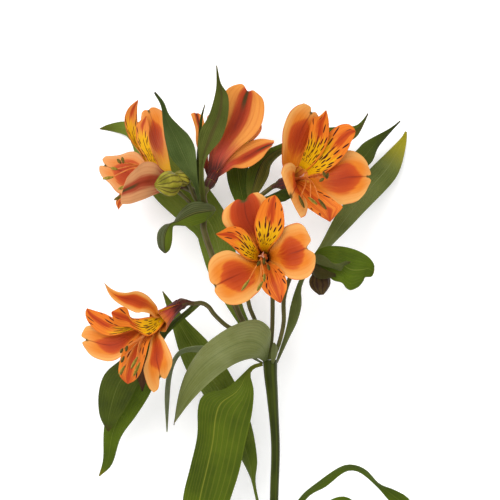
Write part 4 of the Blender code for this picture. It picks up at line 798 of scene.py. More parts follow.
def flamed_skin(name, base, flame, dark):
    """The narrow petal that points down has no gold: red stripes run from its throat to its tip."""
    skin = Skin(name, base)
    s, middle = skin.s, skin.middle
    lines, uneven = skin.veins(5, 2.2), skin.ragged(3.0, 14.0, 0.5)
    stripes = skin.noise(skin.spot(2.0, 22.0), 1.0, 3.0).ease(0.42, 0.6)
    skin.coat(flame, stripes * (middle + uneven).ease(0.95, 0.6) * 0.85)
    skin.coat(dark, (middle + uneven).ease(0.3, 0.05, 0.0, 0.75))
    skin.coat(dark, (s + uneven).ease(0.8, 1.0, 0.0, 0.7))
    skin.coat(MAROON, dashes(skin, FLAMED_DASHES) * s.ease(0.45, 0.5) * middle.ease(0.3, 0.4))
    return finish_petal(skin, lines)


def outer_skin(name, base, stripe, dark, foot=PURPLE, tip=MOSS, width=0.5):
    """The outer face of a petal: a red band over the midrib, purple at the foot and green at the tip."""
    skin = Skin(name, base)
    s, middle = skin.s, skin.middle
    lines, uneven = skin.veins(9, 1.4), skin.ragged(2.5, 12.0, 0.3)
    inside, height = width + uneven - middle, s + uneven
    skin.coat(stripe, inside.ease(-0.05, 0.25, 0.0, 0.95))
    skin.coat(dark, inside.ease(0.15, 0.5) * s.ease(0.4, 0.6, 0.0, 0.85))
    skin.coat(stripe, lines * 0.15)
    skin.coat(CORAL, height.ease(0.5, 0.25, 0.0, 0.9))
    skin.coat(foot, height.ease(0.3, 0.1, 0.0, 0.95))
    skin.coat(tip, middle.ease(0.14, 0.05) * s.ease(0.7, 0.85, 0.0, 0.9))
    return finish_petal(skin, lines)


def plain_skin(name, one, other, scale, roughness=0.5, height=0.00006, stripes=0, stripe=None, wobble=0.8,
               foot=None):
    """A skin for round pieces: two mixed colours, and stripes along it where they are asked for."""
    skin = Skin(name, one, roughness)
    skin.coat(other, skin.noise(skin.place, scale, 4.0).ease(0.3, 0.7))
    relief = skin.noise(skin.place, scale * 5)
    if stripes:
        lines = skin.veins(stripes, wobble)
        skin.coat(stripe, lines * 0.7)
        relief += lines
    if foot:
        skin.coat(foot, skin.s.ease(0.25, 0.0, 0.0, 0.85))
    return skin.finish(relief, height)


def funnel_skin(name, middle, mouth):
    """The outside of the funnel: purple at the ovary, then the colours of its middle and its mouth."""
    skin = Skin(name, PURPLE)
    lines, height = skin.veins(12, 1.0), skin.s + skin.ragged(2.5, 30.0, 0.5)
    skin.coat(middle, height.ease(0.25, 0.7))
    skin.coat(mouth, height.ease(0.65, 1.0, 0.0, 0.7))
    skin.coat(VEIN_RED, lines * 0.35)
    return skin.finish(lines, FUNNEL_RELIEF)


OUTER = outer_skin("petal_outer", (244, 156, 66), (190, 62, 22), (140, 34, 8))
NARROW_OUTER = outer_skin("petal_narrow_outer", (240, 150, 70), (182, 62, 26), (120, 36, 12))
FADED_OUTER = outer_skin(
    "petal_outer_faded", (238, 168, 112), (190, 76, 48), (150, 50, 26), FADED_PURPLE, FADED_MOSS,
    width=0.46)
FADED_NARROW_OUTER = outer_skin(
    "petal_narrow_outer_faded", (238, 160, 96), (196, 80, 48), (150, 50, 26), FADED_PURPLE, FADED_MOSS)
BROAD = broad_skin("petal_broad", ORANGE, PEACH, PATCH, RED, AMBER)
FADED_BROAD = broad_skin(
    "petal_broad_faded", (238, 142, 66), (243, 176, 112), (206, 82, 36), (180, 56, 20), (230, 136, 40))
NARROW = narrow_skin("petal_narrow", (242, 128, 32), GOLD, FLAME, RED)
FADED_NARROW = narrow_skin("petal_narrow_faded", (236, 138, 58), GOLD, (204, 84, 36), RED, gold_end=0.78)
FLAMED = flamed_skin("petal_flamed", (244, 134, 40), (214, 84, 22), (186, 56, 16))
BLOTCHED = broad_skin(
    "petal_blotched", ORANGE, PEACH, (196, 62, 16), (146, 36, 6), AMBER,
    start=0.3, end=1.2, width=0.72, tip_width=0.4)
FADED_BLOTCHED = broad_skin(
    "petal_blotched_faded", (240, 136, 44), (246, 160, 84), (212, 84, 24), (180, 52, 12), GOLD,
    start=0.3, end=0.9, width=0.8)
# The inner and the outer skin of each kind of petal
PETAL_SKINS = {
    "fresh": dict(broad=(BROAD, OUTER), narrow=(NARROW, NARROW_OUTER), flamed=(FLAMED, NARROW_OUTER),
                  blotched=(BLOTCHED, OUTER)),
    "faded": dict(broad=(FADED_BROAD, FADED_OUTER), narrow=(FADED_NARROW, FADED_NARROW_OUTER),
                  blotched=(FADED_BLOTCHED, FADED_NARROW_OUTER)),
}
FUNNEL_INNER = plain_skin("funnel_inner", (250, 178, 50), (238, 140, 60), 260.0, stripes=12,
                          stripe=(214, 100, 50))
FUNNEL_OUTER = {
    "wide": funnel_skin("funnel_wide", CORAL, ORANGE),
    "closed": funnel_skin("funnel_closed", PURPLE, (128, 44, 38)),
}
print("kinds of petals:", sum(len(kinds) for kinds in PETAL_SKINS.values()))

# %% [markdown]
# The petals are listed by their edges too. They spring from a small ring round the foot of the flower, so
# each edge starts there. The inner face is the one that the grid's front becomes. The funnel of a flower
# is given by its height and by the radius of its mouth.

# %% The edges of the petals
BLOOMS = {
    "centre": dict(foot=(-3, 58.5, 20), axis=(-0.08, 0.1, 1.0), age="fresh", funnel=(14.5, 9.4, "wide")),
    "right": dict(foot=(7.5, 100, 7), axis=(0.58, 0.18, 0.79), age="fresh", funnel=(16, 6.2, "wide")),
    "top_left": dict(foot=(-52, 100.7, 7), axis=(-0.86, 0.45, 0.2), age="faded", funnel=(9, 2.2, "closed")),
    "top": dict(foot=(-32, 102, 9), axis=(0.45, 0.85, -0.28), age="fresh", funnel=(6, 2.0, "closed")),
    "left": dict(foot=(-50.3, 33, 8), axis=(-0.62, -0.52, 0.6), age="fresh", funnel=(19, 6.2, "wide")),
}
PETALS = {
    "centre": [
        dict(kind="blotched", notch=2.6, spread=0.32,
             left="-8 65.5 36.5, -16.5 70.5 42, -22.5 74 43.5, -26 79 44, -25.5 84.5 44, -22 88 44",
             right="-3.5 67 36, -1 75.5 41.5, -0.5 84 43.5, -2 91 44, -6.5 94.5 44"),
        dict(kind="broad", notch=4, spread=0.3,
             left="0 63.5 32.5, 4.5 70 40, 7 75 42.5, 10.5 77 43, 15 78 43.5, 18.5 76 44, 20 73 43.5",
             right="1 57 30, 4.5 53.5 36.5, 7.5 50 40, 11.5 47.5 42, 15.5 47 43, 20.5 48.5 43.5, "
                   "23.5 52.5 43.5, 24.5 56.5 43.5"),
        dict(kind="broad", notch=1.5,
             left="-4.5 53.5 32, -4 47.5 38.5, -5 42.5 41.5, -7.5 39.5 42.5, -12.5 35.5 43.5, "
                  "-18.5 33.5 44, -23.5 34 44, -27 36.5 44",
             right="-10 58 34, -17 61 40.5, -22 63 42.5, -26.5 62.5 43, -31 60 43.5, -33.5 56 44, "
                   "-33.5 51 44"),
        dict(kind="narrow",
             left="-6 64.5 36, -8 71.5 43.5, -8.5 78 46, -6.5 85 47, -3.5 90 47.5, -0.5 92 47.5, "
                  "2.5 93 47.5",
             right="0 64.5 36, 5 70 43.5, 7.5 75.5 46, 7.5 81.5 47, 6.5 87 47.5, 4.5 91 47.5, "
                   "2.5 93 47.5"),
        dict(kind="narrow",
             left="-7.5 57 32.5, -12 58 39.5, -16.5 61 43, -21 65.5 45.5, -25 68.5 46.5, -28 70.5 47, "
                  "-29.5 72 47.5",
             right="-6.5 63.5 35, -10.5 70 43, -14.5 74.5 46, -18.5 76 46.5, -23 75.5 47, "
                   "-26.5 73.5 47, -29.5 72 47.5"),
        dict(kind="flamed",
             left="0.5 56 31, 4 54.5 37, 6.5 52 40.5, 8.5 48 43, 9 43 44, 7.5 38.5 45, 6.5 36 45.5, "
                  "5.5 34.5 45.5",
             right="-4 54.5 31, -5 50 37.5, -5 44 42.5, -3 40.5 43.5, 0 38 44.5, 3.5 35.5 45, "
                   "5.5 34.5 45.5"),
    ],
    "right": [
        dict(kind="broad", notch=2, spread=0.2,
             left="8 104 13, 6.5 111 20, 6.5 120 28, 7 128.5 32, 10 137.5 34, 14 141.5 34, 18.5 143 33",
             right="15.5 106.5 14, 21.5 116 18, 26.5 124.5 21, 28.8 130 23, 27 134.5 25"),
        dict(kind="broad", notch=2.5, spread=0.2,
             left="21.5 106 15, 31.5 112 18, 39.5 117 19, 45 117.5 19, 50 115 18, 53 111.5 17, 54 108 17",
             right="21.5 96.5 18, 28 92.5 24, 33.5 90 26, 37.5 88 26, 42.5 88.5 25, 47.5 90 24, "
                   "51.5 94 22, 54 98.5 20"),
        dict(kind="broad", bow=-3,
             left="15 96.5 18, 19 92 28, 20.5 86.5 36, 19 82 42, 16.5 80.5 46",
             right="11 103.5 17, 14 108 28, 11.5 110.5 36, 7.5 109.5 42, 6 105 46"),
        dict(kind="narrow",
             left="14 107.5 15, 17.5 116 21, 20 122 25, 21.5 129 28, 23 135 30, 26.5 136 31, "
                  "30.5 139.5 32",
             right="21 107.5 16, 27.5 114.5 21.5, 31 121 25.5, 32 126.5 28, 32 132 30, 31.5 136 31, "
                   "30.5 139.5 32"),
        dict(kind="narrow",
             left="17.5 106.5 14, 22.5 115.5 19, 27.5 122.5 22.5, 33.5 128.5 25, 38 131.5 26, "
                  "42.5 132 27, 45.5 130 27, 46.5 128 27",
             right="21.5 103.5 16, 29 105 21, 36 110 24, 40 114.5 26, 43 119 27, 44 122 27, "
                   "46 125.5 27, 46.5 128 27"),
        dict(kind="flamed",
             left="17 101 19, 25.5 97 28, 32.5 92.5 34, 37 88.5 36, 39.5 87 37, 36.5 83 38, 32.5 78.5 38",
             right="13 98.5 19, 14.5 94 27, 17.5 89 33, 20.5 86 36, 24 83.5 37, 28 81 38, 32.5 78.5 38"),
    ],
    "top_left": [
        dict(kind="blotched", notch=1.2, spread=0.3,
             left="-59.5 104 3, -62.5 111 -2, -66 118.5 -5, -69 125.5 -6, -71 132.5 -6, -71 138.5 -5",
             right="-54 106 9, -55.5 114 10, -57 120.5 10, -58 127 9, -58 135 8, -59.5 139.5 7, "
                   "-62.5 141.5 5"),
        dict(kind="broad", notch=3,
             left="-60.5 98 3, -68 95 1, -76 93.5 -1, -83.5 94.5 -1, -88.5 100 -2, -92.5 103.5 -3, "
                  "-94 106.5 -4",
             right="-61.5 105 3, -67.5 111 1, -72.5 116.5 -2, -77 117.5 -3, -83.5 115.5 -4, -90.5 115 -5"),
        dict(kind="broad", notch=0.5, spread=0.2,
             left="-56 105 10, -59.5 107.5 14, -62.5 110.5 18, -66.5 111.5 22, -70.5 110.5 26, "
                  "-73.5 107.5 29, -77.5 103 31",
             right="-56.5 96.5 9, -61 94.5 12, -65.5 92.5 15, -70.5 90.5 19, -76 88.5 22, -81.5 88.5 24"),
        dict(kind="narrow",
             left="-67 110 7, -71.5 117 5, -75 121 3, -77.5 125.5 1, -79.5 131 -1, -80 136.5 -2, "
                  "-77.5 142 -2, -72.5 146 -2",
             right="-62 107.5 6, -67 115 3, -70.5 122 0, -72.5 129 -2, -73 136 -3, -73 141.5 -3, "
                   "-72.5 146 -2"),
        dict(kind="narrow",
             left="-64 106.5 5, -68 113 6, -72 119.5 6, -73.5 126 5, -73 132.5 3, -68 137 2",
             right="-59 104.5 6, -61.5 110.5 8, -64.5 117.5 9, -66.5 125.5 7, -66.5 132 4, -68 137 2"),
        dict(kind="narrow",
             left="-60.5 96.5 2, -67 93.5 -1, -73.5 91.5 -3, -80 89.5 -5, -83.5 85.5 -6",
             right="-63.5 99.5 1, -71.5 98.5 -3, -78 97 -5, -83 94 -6, -85 89.5 -6, -83.5 85.5 -6"),
    ],
    "top": [
        dict(kind="broad", notch=3, spread=0.45, bow=2,
             left="-28 105 9, -25 110.5 10, -20.5 116 10, -15.5 120.5 9, -10.5 124.5 9, -6.5 129 8, "
                  "-4 134 7, -3 141 6, -4 146.5 6, -7.5 149.5 6",
             right="-34 106 9, -33.5 114 10, -32.5 121 10, -31 129 9, -29 137.5 8, -27 145 7, "
                   "-24 151 6, -20.5 153.5 6, -16.5 154.5 6"),
        dict(kind="broad", notch=0.5, spread=0.2, bow=2,
             left="-28.5 103 10, -24 106 11, -20 108.5 12, -15.5 108 12, -11 109 11, -6.5 112 10, "
                  "-3.5 114.5 9, -1 118.5 8",
             right="-29 106 10, -25.5 111 8, -21.5 116 6, -17 119.5 5, -12.5 122 4, -7.5 124 3, "
                   "-3 124.5 2, 2 123.5 1"),
        dict(kind="broad", notch=0.5, spread=0.2, bow=1.5,
             left="-33.5 107.5 8, -34 113 7, -34.5 119.5 5, -35 126 3, -36 132 2, -37 137 1",
             right="-35 105 7, -37 110.5 6, -39 116 4, -40.5 122 2, -41 129 0, -42.5 135 -1, "
                   "-43.5 138 -2"),
        dict(kind="narrow",
             left="-28.5 117.5 4.5, -28 127.5 3, -27.5 137 0, -27 143.5 -5.5, -25 146 -14",
             right="-26.5 115 0.5, -23 122 -6, -21.5 129.5 -12, -22 137.5 -15, -25 146 -14"),
        dict(kind="narrow",
             left="-26 115 0.5, -23.5 123 -5.5, -20 130 -11.5, -14.5 134.5 -16, -6 136 -18",
             right="-21.5 113.5 3, -14 119.5 -0.5, -7.5 125.5 -5, -4.5 130.5 -11, -6 136 -18"),
        dict(kind="narrow",
             left="-30.5 114.5 5, -31.5 122.5 3.5, -33 130.5 0, -34.5 136 -5.5, -34 138 -14",
             right="-28.5 112 1.5, -27 117.5 -5, -27.5 124 -11, -30 130.5 -14.5, -34 138 -14"),
    ],
    "left": [
        dict(kind="broad", bow=-2,
             left="-55 29.5 16, -59 27 20, -62.5 26 23.5, -65.5 28.5 27, -69.5 29.5 30, -72.5 29 31, "
                  "-76.5 30.5 31, -81 33 30, -85.5 36.5 29, -88.5 40.5 28, -90.5 45.5 27",
             right="-56 31.5 16, -59.5 29.5 20.5, -61 28.5 25, -61.5 32 28, -64 35.5 31, -67.5 39 33, "
                   "-72.5 41 34, -78 40 33, -83 40.5 31, -87 42.5 29, -90.5 45.5 27"),
        dict(kind="broad", notch=3,
             left="-59 26 12, -66 20.5 17, -71.5 16.5 20.5, -76.5 11.5 23, -81.5 5 25, -87 2.5 24, "
                  "-93.5 3.5 22, -98.5 6 20, -101.5 10 19",
             right="-60.5 27 11, -67 24 15, -72.5 22 18.5, -79 20.5 21, -86.5 20 20.5, -93 21 19.5, "
                   "-97 22 19, -100.5 21.5 18, -102.5 18.5 17"),
        dict(kind="broad", notch=4, spread=0.3,
             left="-55.5 27 10.5, -59 22.5 15.5, -60.5 18.5 19.5, -58 14.5 22.5, -55.5 10 25, "
                  "-53.5 5 27, -53.5 1 26, -55 -3 26",
             right="-58 26.5 12, -62.5 20.5 16.5, -65 15 21, -66 9.5 25.5, -67.5 3.5 29, -69 -1.5 29, "
                   "-68 -7 28, -66 -12 27, -63.5 -14.5 26"),
        dict(kind="narrow",
             left="-57 28 10.5, -66 21.5 18, -72.5 20 22.5, -78 18.5 25, -83 17 26, -88.5 16.5 25, "
                  "-93 18 24, -97 21 23, -100 25 22, -101 29 22, -100 31.5 22",
             right="-58 29.5 10.5, -66 25 18, -72.5 23 22.5, -79 24 25, -86 26.5 25, -90 28.5 24, "
                   "-95 30 23, -100 31.5 22"),
        dict(kind="narrow", bow=-1.5,
             left="-57 25 17, -62.5 18.2 24.5, -67.5 16.5 30, -72.4 19.3 31, -77 21.5 32, "
                  "-81.5 21.5 34, -84.5 23.5 36, -85.5 27 37",
             right="-59 31 20, -63.5 27.5 23, -68 26.5 27, -72.5 26 29, -76 27 32, -77.5 31 34, "
                   "-81 32.5 36, -84.5 30.5 37"),
        dict(kind="flamed",
             left="-57 27 12.5, -61.5 21.5 18, -63.5 17.5 22, -66 13 26.5, -67.5 7 31, -69 1 34, "
                  "-71 -4.5 36, -74 -8 36, -77.5 -9.5 36",
             right="-59 28 12.5, -65 23 18, -68 20.5 22, -72.5 16.5 26.5, -77.5 12.5 30.5, "
                   "-80.5 7.5 34, -82 2 34, -82.5 -3.5 35, -80.5 -7 35, -77.5 -9.5 36"),
    ],
}

# %% The flowers
PETAL_ACROSS, PETAL_STEPS, PETAL_THICKNESS = 18, 34, 0.5
FOOT_RING, FOOT_HALF_WIDTH = 2.4, 1.1
LOBE_ROUNDING, LOBE_LENGTH = 1.5, 5
RUFFLE, RUFFLE_TURNS, RUFFLE_STEP, RUFFLE_OFFSET = 0.35, 17, 2.1, 3
BOW_REACH = 1.1
PETAL_MARKING_STEP, FLOWER_MARKING_STEP = 3.1, 1.7
FUNNEL_ACROSS, FUNNEL_STEPS = 36, 16
FUNNEL_FOOT_RADIUS, FUNNEL_SWELL, FUNNEL_DEPTH, FUNNEL_RIBS = 2.75, 0.4, 1.0, 0.06


def foot_and_axis(flower):
    """Where a flower sits and which way it points."""
    return Vector(BLOOMS[flower]["foot"]), Vector(BLOOMS[flower]["axis"]).normalized()


def petal_place(foot, axis, kind, left, right, notch=0.0, spread=0.25, bow=-1.2, number=0):
    """A petal between its two edges, dished, with two lobes and a notch if it is broad."""
    left, right = listed(left), listed(right)
    out = (left[0] + right[0]) / 2 - foot
    out = (out - axis * out.dot(axis)).normalized()
    side = axis.cross(out) * FOOT_HALF_WIDTH
    left_line = even_line([foot + out * FOOT_RING + side] + left)
    right_line = even_line([foot + out * FOOT_RING - side] + right)
    rounding = 0.0 if left[-1] == right[-1] else LOBE_ROUNDING

    def place(s, t):
        a, b, ahead, inner = between(left_line, right_line, s)
        across = 1 - t * t
        point = (a + b) / 2 + (b - a) * t / 2
        point += inner * bow * math.sin(math.pi * min(s * BOW_REACH, 1)) * across
        ruffle = math.sin(RUFFLE_TURNS * s + RUFFLE_STEP * number + (RUFFLE_OFFSET if t > 0 else 0))
        point += inner * RUFFLE * ruffle * abs(t) ** 4 * s
        lobe = rounding * across - notch * math.exp(-((t / spread) ** 2))
        return point + ahead * lobe * s**LOBE_LENGTH

    return place


def funnel_place(foot, axis, height, mouth):
    """The funnel that the feet of the petals form together, from the foot of the flower to its throat."""
    side = axis.orthogonal().normalized()
    up = axis.cross(side)
    widening = mouth - FUNNEL_FOOT_RADIUS - FUNNEL_SWELL

    def place(s, t):
        radius = FUNNEL_FOOT_RADIUS + FUNNEL_SWELL * s + widening * s**2.2
        radius *= 1 + FUNNEL_RIBS * math.cos(6 * math.pi * t)
        out = side * math.cos(math.pi * t) - up * math.sin(math.pi * t)
        return foot + axis * (height * s - FUNNEL_DEPTH) + out * radius

    return place


for name, flower in BLOOMS.items():
    foot, axis = foot_and_axis(name)
    kinds = PETAL_SKINS[flower["age"]]
    bm = bmesh.new()
    for i, petal in enumerate(PETALS[name]):
        place = petal_place(foot, axis, number=i, **petal)
        skin = 2 * list(kinds).index(petal["kind"])
        marking = i * PETAL_MARKING_STEP + len(name) * FLOWER_MARKING_STEP
        lay_sheet(bm, place, PETAL_ACROSS, PETAL_STEPS, skin=skin, number=marking)
    height, mouth, funnel = flower["funnel"]
    place = funnel_place(foot, axis, height, mouth)
    lay_sheet(bm, place, FUNNEL_ACROSS, FUNNEL_STEPS, skin=2 * len(kinds))
    skins = [side for kind in kinds.values() for side in kind] + [FUNNEL_INNER, FUNNEL_OUTER[funnel]]
    stand_in(blade_piece("petals_" + name, bm, PETAL_THICKNESS, skins), "bloom_" + name)
print("flowers:", len(BLOOMS))

# %% [markdown]
# ## Stamens
#
# Six thin filaments curve out of the throat, and each holds an anther, a long pod of pollen. The filament
# is one thin rod and the anther a short thick one with two ribs, since the real one is a pair of sacs
# side by side.

# %% Stamens
POLLEN_GRAIN, POLLEN_ROUGHNESS, POLLEN_RELIEF = 900.0, 0.7, 0.0002
STAMEN_SKINS = [
    plain_skin("filament", (218, 112, 42), (236, 146, 72), 300.0),
    plain_skin("anther", (140, 120, 30), (188, 164, 70), POLLEN_GRAIN, POLLEN_ROUGHNESS, POLLEN_RELIEF,
               stripes=2, stripe=(96, 84, 22)),
    plain_skin("anther_dark", (92, 78, 18), (132, 112, 44), POLLEN_GRAIN, POLLEN_ROUGHNESS, POLLEN_RELIEF,
               stripes=2, stripe=(66, 50, 14)),
    plain_skin("style", (236, 176, 150), (214, 128, 100), 300.0),
]
ANTHER, OLD_ANTHER, STYLE = 1, 2, 3
THROAT_FLOOR, FILAMENT_RISE, STAMEN_RING = 2.8, 0.8, 0.75
BUNDLE_HEIGHT, BUNDLE_RADII = 9.0, (1.4, 2.0, 2.3, 2.1, 1.0)
FILAMENT_RADII, ANTHER_RADII, ANTHER_SAG = (0.45, 0.42, 0.3), (0.3, 0.7, 0.85, 0.75, 0.3), 0.3
STYLE_LENGTH, STYLE_RADII, STIGMA_RADII = 13.5, (0.7, 0.5, 0.45), (0.35, 0.4, 0.2)
STIGMA_TURNS, STIGMA_POINTS = (0.4, 2.5, 4.6), ((0, 0), (1.2, 1), (1.6, 2.2))
WIDE_THROAT, ANTHER_MARKING_STEP = 5, 1.3
BEND_HEIGHT, BEND_LEAN, ANTHER_HOLD = 0.6, 0.15, 0.25
# Where each anther hangs: its end on the filament and its free end, then which of them are old and dark
ANTHERS = {
    "centre": ("-11.4 47.2 52.5, -15.6 41.3 53, -4.1 46.3 52.5, -7.2 41.2 53, -3.2 50.4 52.5, "
               "-3.4 46 52.9, -5.5 57.5 43, -7.2 54.6 44, -1.5 55.5 45.5, -0.4 52.2 46, "
               "-3.2 59.2 43, -3.5 55.6 45", (3, 4, 5)),
    "right": ("15.4 92.8 47.5, 18.4 86 49, 20.6 91.8 46.5, 25.4 87.9 48, 26.1 90.9 45.5, "
              "30.4 85.2 47, 28.6 105.8 42, 30 102.6 43, 31.3 105.1 41.5, 30.5 101.8 42, "
              "29.2 102.2 43.5, 26.6 100.4 44", (0, 2, 3, 4, 5)),
    "top_left": ("-81.7 110.6 12, -83.7 113.1 12, -80.2 110.6 16, -81 114.1 16, -85.8 103.2 15.5, "
                 "-91.6 102.1 16, -78.2 98.2 20, -83 96.6 18, -80.5 93.3 18, -85.3 90.6 18, "
                 "-83.5 107.3 15, -87.2 108.2 15", (0, 1, 4)),
    "top": ("-16.5 122 1, -14 125.5 1, -14.5 128.5 -2, -12 132 -2, -18.5 130 -3, -16 134 -3, "
            "-20 128 -3, -18.5 131.5 -3, -13.5 124.5 -2, -11 128 -2, -21 131.5 -4, -19.5 135.5 -4", (3,)),
    "left": ("-80.1 9.9 40, -81.3 7.4 40, -77.6 11.4 40, -78.4 8.2 40, -79.3 5.6 41, "
             "-80.9 2.2 41, -79 0.4 42, -81.8 -4.6 42, -71.9 5.4 42, -75.6 -1.2 42, -70.6 2.4 42, "
             "-74.2 -5.2 42", (0, 1, 2)),
}


def filament_line(foot, axis, held, free, turn):
    """From the throat up along the flower's axis, then bent over to where the anther hangs."""
    out = Matrix.Rotation(turn, 3, axis) @ axis.orthogonal().normalized() * STAMEN_RING
    root = foot + axis * (THROAT_FLOOR + FILAMENT_RISE) + out
    rise = (free - foot).dot(axis)
    bend = foot + axis * (rise * BEND_HEIGHT) + out + (free - foot - axis * rise) * BEND_LEAN
    return [root, bend, held.lerp(free, ANTHER_HOLD)]


for name, (anthers, old) in ANTHERS.items():
    foot, axis = foot_and_axis(name)
    bm = bmesh.new()
    low = foot + axis * THROAT_FLOOR
    room = min(1.0, BLOOMS[name]["funnel"][1] / WIDE_THROAT)
    bundle = [radius * room for radius in BUNDLE_RADII]
    roll_rod(bm, [low, low + axis * BUNDLE_HEIGHT * room], bundle, 24, 12, ribs=6, depth=0.12)
    style_end = low + axis * STYLE_LENGTH
    roll_rod(bm, [low + axis, style_end], STYLE_RADII, 10, 12, skin=STYLE)
    for turn in STIGMA_TURNS:
        out = Matrix.Rotation(turn, 3, axis) @ axis.orthogonal().normalized()
        lobe = [style_end + axis * up + out * away for up, away in STIGMA_POINTS]
        roll_rod(bm, lobe, STIGMA_RADII, 8, 6, skin=STYLE)
    ends = listed(anthers)
    for i, (held, free) in enumerate(zip(ends[::2], ends[1::2])):
        roll_rod(bm, filament_line(foot, axis, held, free, math.radians(60 * i)), FILAMENT_RADII, 8, 24)
        middle = (held + free) / 2 + Vector((0, 0, ANTHER_SAG))
        roll_rod(bm, [held, middle, free], ANTHER_RADII, 14, 14, ribs=2, depth=0.14,
                 skin=OLD_ANTHER if i in old else ANTHER, number=i * ANTHER_MARKING_STEP)
    stand_in(rod_piece("stamens_of_" + name, bm, STAMEN_SKINS), "stamens_" + name)
print("flowers with stamens:", len(ANTHERS))

# %% [markdown]
# ## Stalks and ovaries
#
# Each stalk ends in the ovary of its flower, a ribbed swelling that later becomes the seed pod. Stalk and
# ovary grow as one, so they are one piece here, with the stalk run into the ovary. The stalks are green
# at the whorl and take on a purple brown towards the flowers. Where a stalk forks for two flowers, it
# thickens into a small knot. Where one bends sharply into its flower, the ovary starts at a place of its
# own instead of straight behind the flower.

# %% Stalks
STALK_SKIN = plain_skin("stalk", (98, 96, 48), (78, 74, 36), 120.0, stripes=4, stripe=(122, 106, 72),
                        foot=(80, 92, 24))
OVARY_SKIN = plain_skin("ovary", (66, 34, 30), (96, 52, 40), 200.0, stripes=6, stripe=(84, 78, 40))
OVARY_GAP, OVARY_LENGTH, OVARY_RUN_IN = 1.8, 8.5, 1.3
OVARY_RADII = (1.3, 1.3, 1.9, 2.9, 2.7)
OVARY_MIDDLE, OVARY_STARTS, OVARY_BEND = 0.4, {"left": (-42, 33.8, 5.2)}, Vector((0, 0.8, 0))
STALK_RADIUS, STALK_RADII, STALK_SWELL, ROWS_PER_POINT = 1.15, {"ray_upper_left": 1.6}, 1.15, 8
KNOTS, KNOT_RADII = {"ray_upper_left": "-35.5 82.3 5, -35.9 88.5 5.3"}, (1.0, 2.2, 2.4, 2.1, 0.8)
RAYS = {
    "ray_centre": {
        "centre": "0 3.1 2.35, 0 5.2 2.4, 1.2 20 3, 1.4 37 5, 0.8 48 8",
    },
    "ray_right": {
        "right": "1.38 3.55 -1.9, 1.3 5.2 -2, -2 12 -2.5, -8.8 25.9 -3, -12.1 35.8 -3.5, -14 55 -4, "
                 "-12.5 75 -4, -9.9 88 -3",
    },
    "ray_left": {
        "left": "-1.38 3.45 -1.9, -1.5 5.2 -2, -6 10 -3, -15 17 -1.5, -23.7 21.5 1, -30.3 27.5 3, "
                "-33.6 31.9 4, -37.4 34.1 4.5",
    },
    "ray_upper_left": {
        "top": "-2.23 3.35 0.73, -2.4 5.2 0.8, -8 14 1.2, -15.4 24.8 2, -19.8 34.1 3, -27 48 4, "
               "-31.9 60.5 4.5, -36.5 75.4 4.5, -35.5 86 5",
        "top_left": "-36 82 4.7, -35.8 87 5, -38 91 6",
    },
    "ray_bud": {
        "bud": "2.23 3.45 0.73, 2.3 5.2 0.8, 5 12 1.5, 7.5 23.5 2.5, 7.7 37 4, 12 50 6, 19 57 8, "
               "22 58.2 8.8",
    },
}


def behind_flower(flower, back):
    """A point on the axis of a flower, behind its foot."""
    foot, axis = foot_and_axis(flower)
    return foot - axis * (OVARY_GAP + back)


for name, forks in RAYS.items():
    bm = bmesh.new()
    radius = STALK_RADII.get(name, STALK_RADIUS)
    for flower, points in forks.items():
        line = listed(points)
        if flower in BLOOMS:
            backs = (OVARY_LENGTH, OVARY_LENGTH * OVARY_MIDDLE, -OVARY_RUN_IN)
            start, middle, end = [behind_flower(flower, back) for back in backs]
            if flower in OVARY_STARTS:
                start = Vector(OVARY_STARTS[flower])
                middle = start.lerp(end, 0.5) + OVARY_BEND
            line += [start, middle]
            roll_rod(bm, [start, middle, end], OVARY_RADII, 36, 16, ribs=6, depth=0.09, skin=1,
                     number=len(flower))
        roll_rod(bm, line, (radius, radius * STALK_SWELL), 14, ROWS_PER_POINT * len(line), number=len(line))
    if name in KNOTS:
        roll_rod(bm, listed(KNOTS[name]), KNOT_RADII, 16, 12)
    stand_in(rod_piece("stalk_" + name, bm, [STALK_SKIN, OVARY_SKIN]), name)
print("stalks:", len(RAYS))

# %% [markdown]
# ## Buds
#
# A closed bud shows only the outside of its petals, folded against each other. That gives it six ribs,
# with dark seams in between.

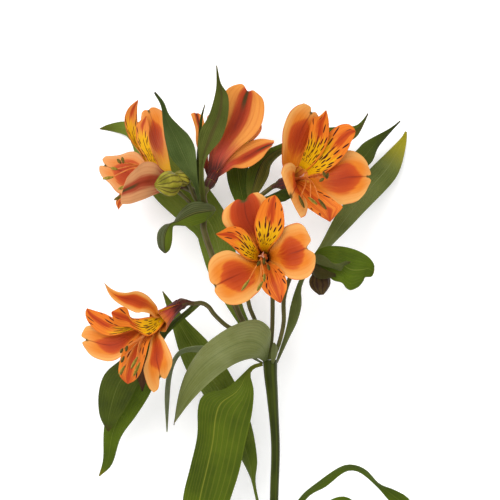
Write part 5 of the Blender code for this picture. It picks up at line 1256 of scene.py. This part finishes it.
# %% Buds
BUD_SKINS = {
    "bud": plain_skin("bud", (118, 114, 16), (170, 160, 52), 160.0, 0.45, 0.0002, stripes=12,
                      stripe=(66, 48, 14), wobble=4.0),
    "withered": plain_skin("bud_withered", (70, 46, 30), (92, 74, 30), 120.0, 0.7, 0.0004, stripes=11,
                           stripe=(54, 32, 26), wobble=4.0),
}
BUDS = {
    "bud_large": dict(
        centre=(-55.6, 99.4, 23), point=(-0.8, -0.1, 0.55), half_length=8.2, radius=6.5, slot="bud",
        stalk="-38.5 84.5 6.2, -44 89.5 10.5, -50 95 18, -53.5 98 21.5"),
    "bud_small": dict(
        centre=(-48.4, 102.6, 14), point=(-0.7, 0.3, 0.6), half_length=6, radius=4.2, slot="bud",
        stalk="-38.3 87.2 6.4, -42 93 9.5, -44.5 99 11.5, -47.5 102.3 12.2"),
    "bud_withered": dict(
        centre=(27.4, 45.4, 7), point=(0.12, -0.99, -0.05), half_length=6.8, radius=5.6, slot="withered",
        stalk="21.7 56.4 7.2, 23 52 6.2, 25 48 5.8"),
}
# How wide a bud is at each place along it, as shares of its radius and its length
BUD_PROFILE = [(0.0, 0.25), (0.12, 0.7), (0.3, 0.96), (0.5, 1.0), (0.7, 0.9), (0.88, 0.62), (1.0, 0.22)]
BUD_STALK_RADII = (0.9, 1.1)
for name, shape in BUDS.items():
    point = Vector(shape["point"]).normalized() * shape["half_length"]
    bm = bmesh.new()
    radii = [share * shape["radius"] for place, share in BUD_PROFILE]
    line = [Vector(shape["centre"]) + point * (2 * place - 1) for place, share in BUD_PROFILE]
    roll_rod(bm, line, radii, 48, 28, ribs=6, depth=0.09)
    roll_rod(bm, listed(shape["stalk"]), BUD_STALK_RADII, 12, 20, skin=1)
    stand_in(rod_piece("closed_" + name, bm, [BUD_SKINS[shape["slot"]], STALK_SKIN]), name)
print("buds:", len(BUDS))

# %% [markdown]
# ## The stem
#
# The main stem is round, a little ridged, and swells at the whorl. Its lower end was cut, so that face
# shows the pale inside.

# %% The stem
STEM_SKIN = plain_skin("stem", (62, 72, 12), (44, 52, 6), 60.0, 0.42, 0.0001, stripes=5,
                       stripe=(76, 86, 20))
CUT_SKIN = plain_skin("stem_cut", (170, 184, 120), (196, 204, 150), 700.0, 0.6, 0.0002)
STEM_LINE = ("-9 -239.95 -39.5, -3 -180 -34, 1.5 -120 -24.5, 2.3 -74 -14.5, 3 -45 -7, 1.4 -19 -2, "
             "0.3 -6 -0.3, 0 2.8 0")
STEM_RADII = (2.45, 2.4, 2.35, 2.35, 2.35, 2.4, 2.6, 4.0)
bm = bmesh.new()
roll_rod(bm, listed(STEM_LINE), STEM_RADII, 28, 120, ribs=7, depth=0.02, end_skin=1)
stand_in(rod_piece("stem_from_cut_to_whorl", bm, [STEM_SKIN, CUT_SKIN]), "main_stem")
print("pieces:", len(made))
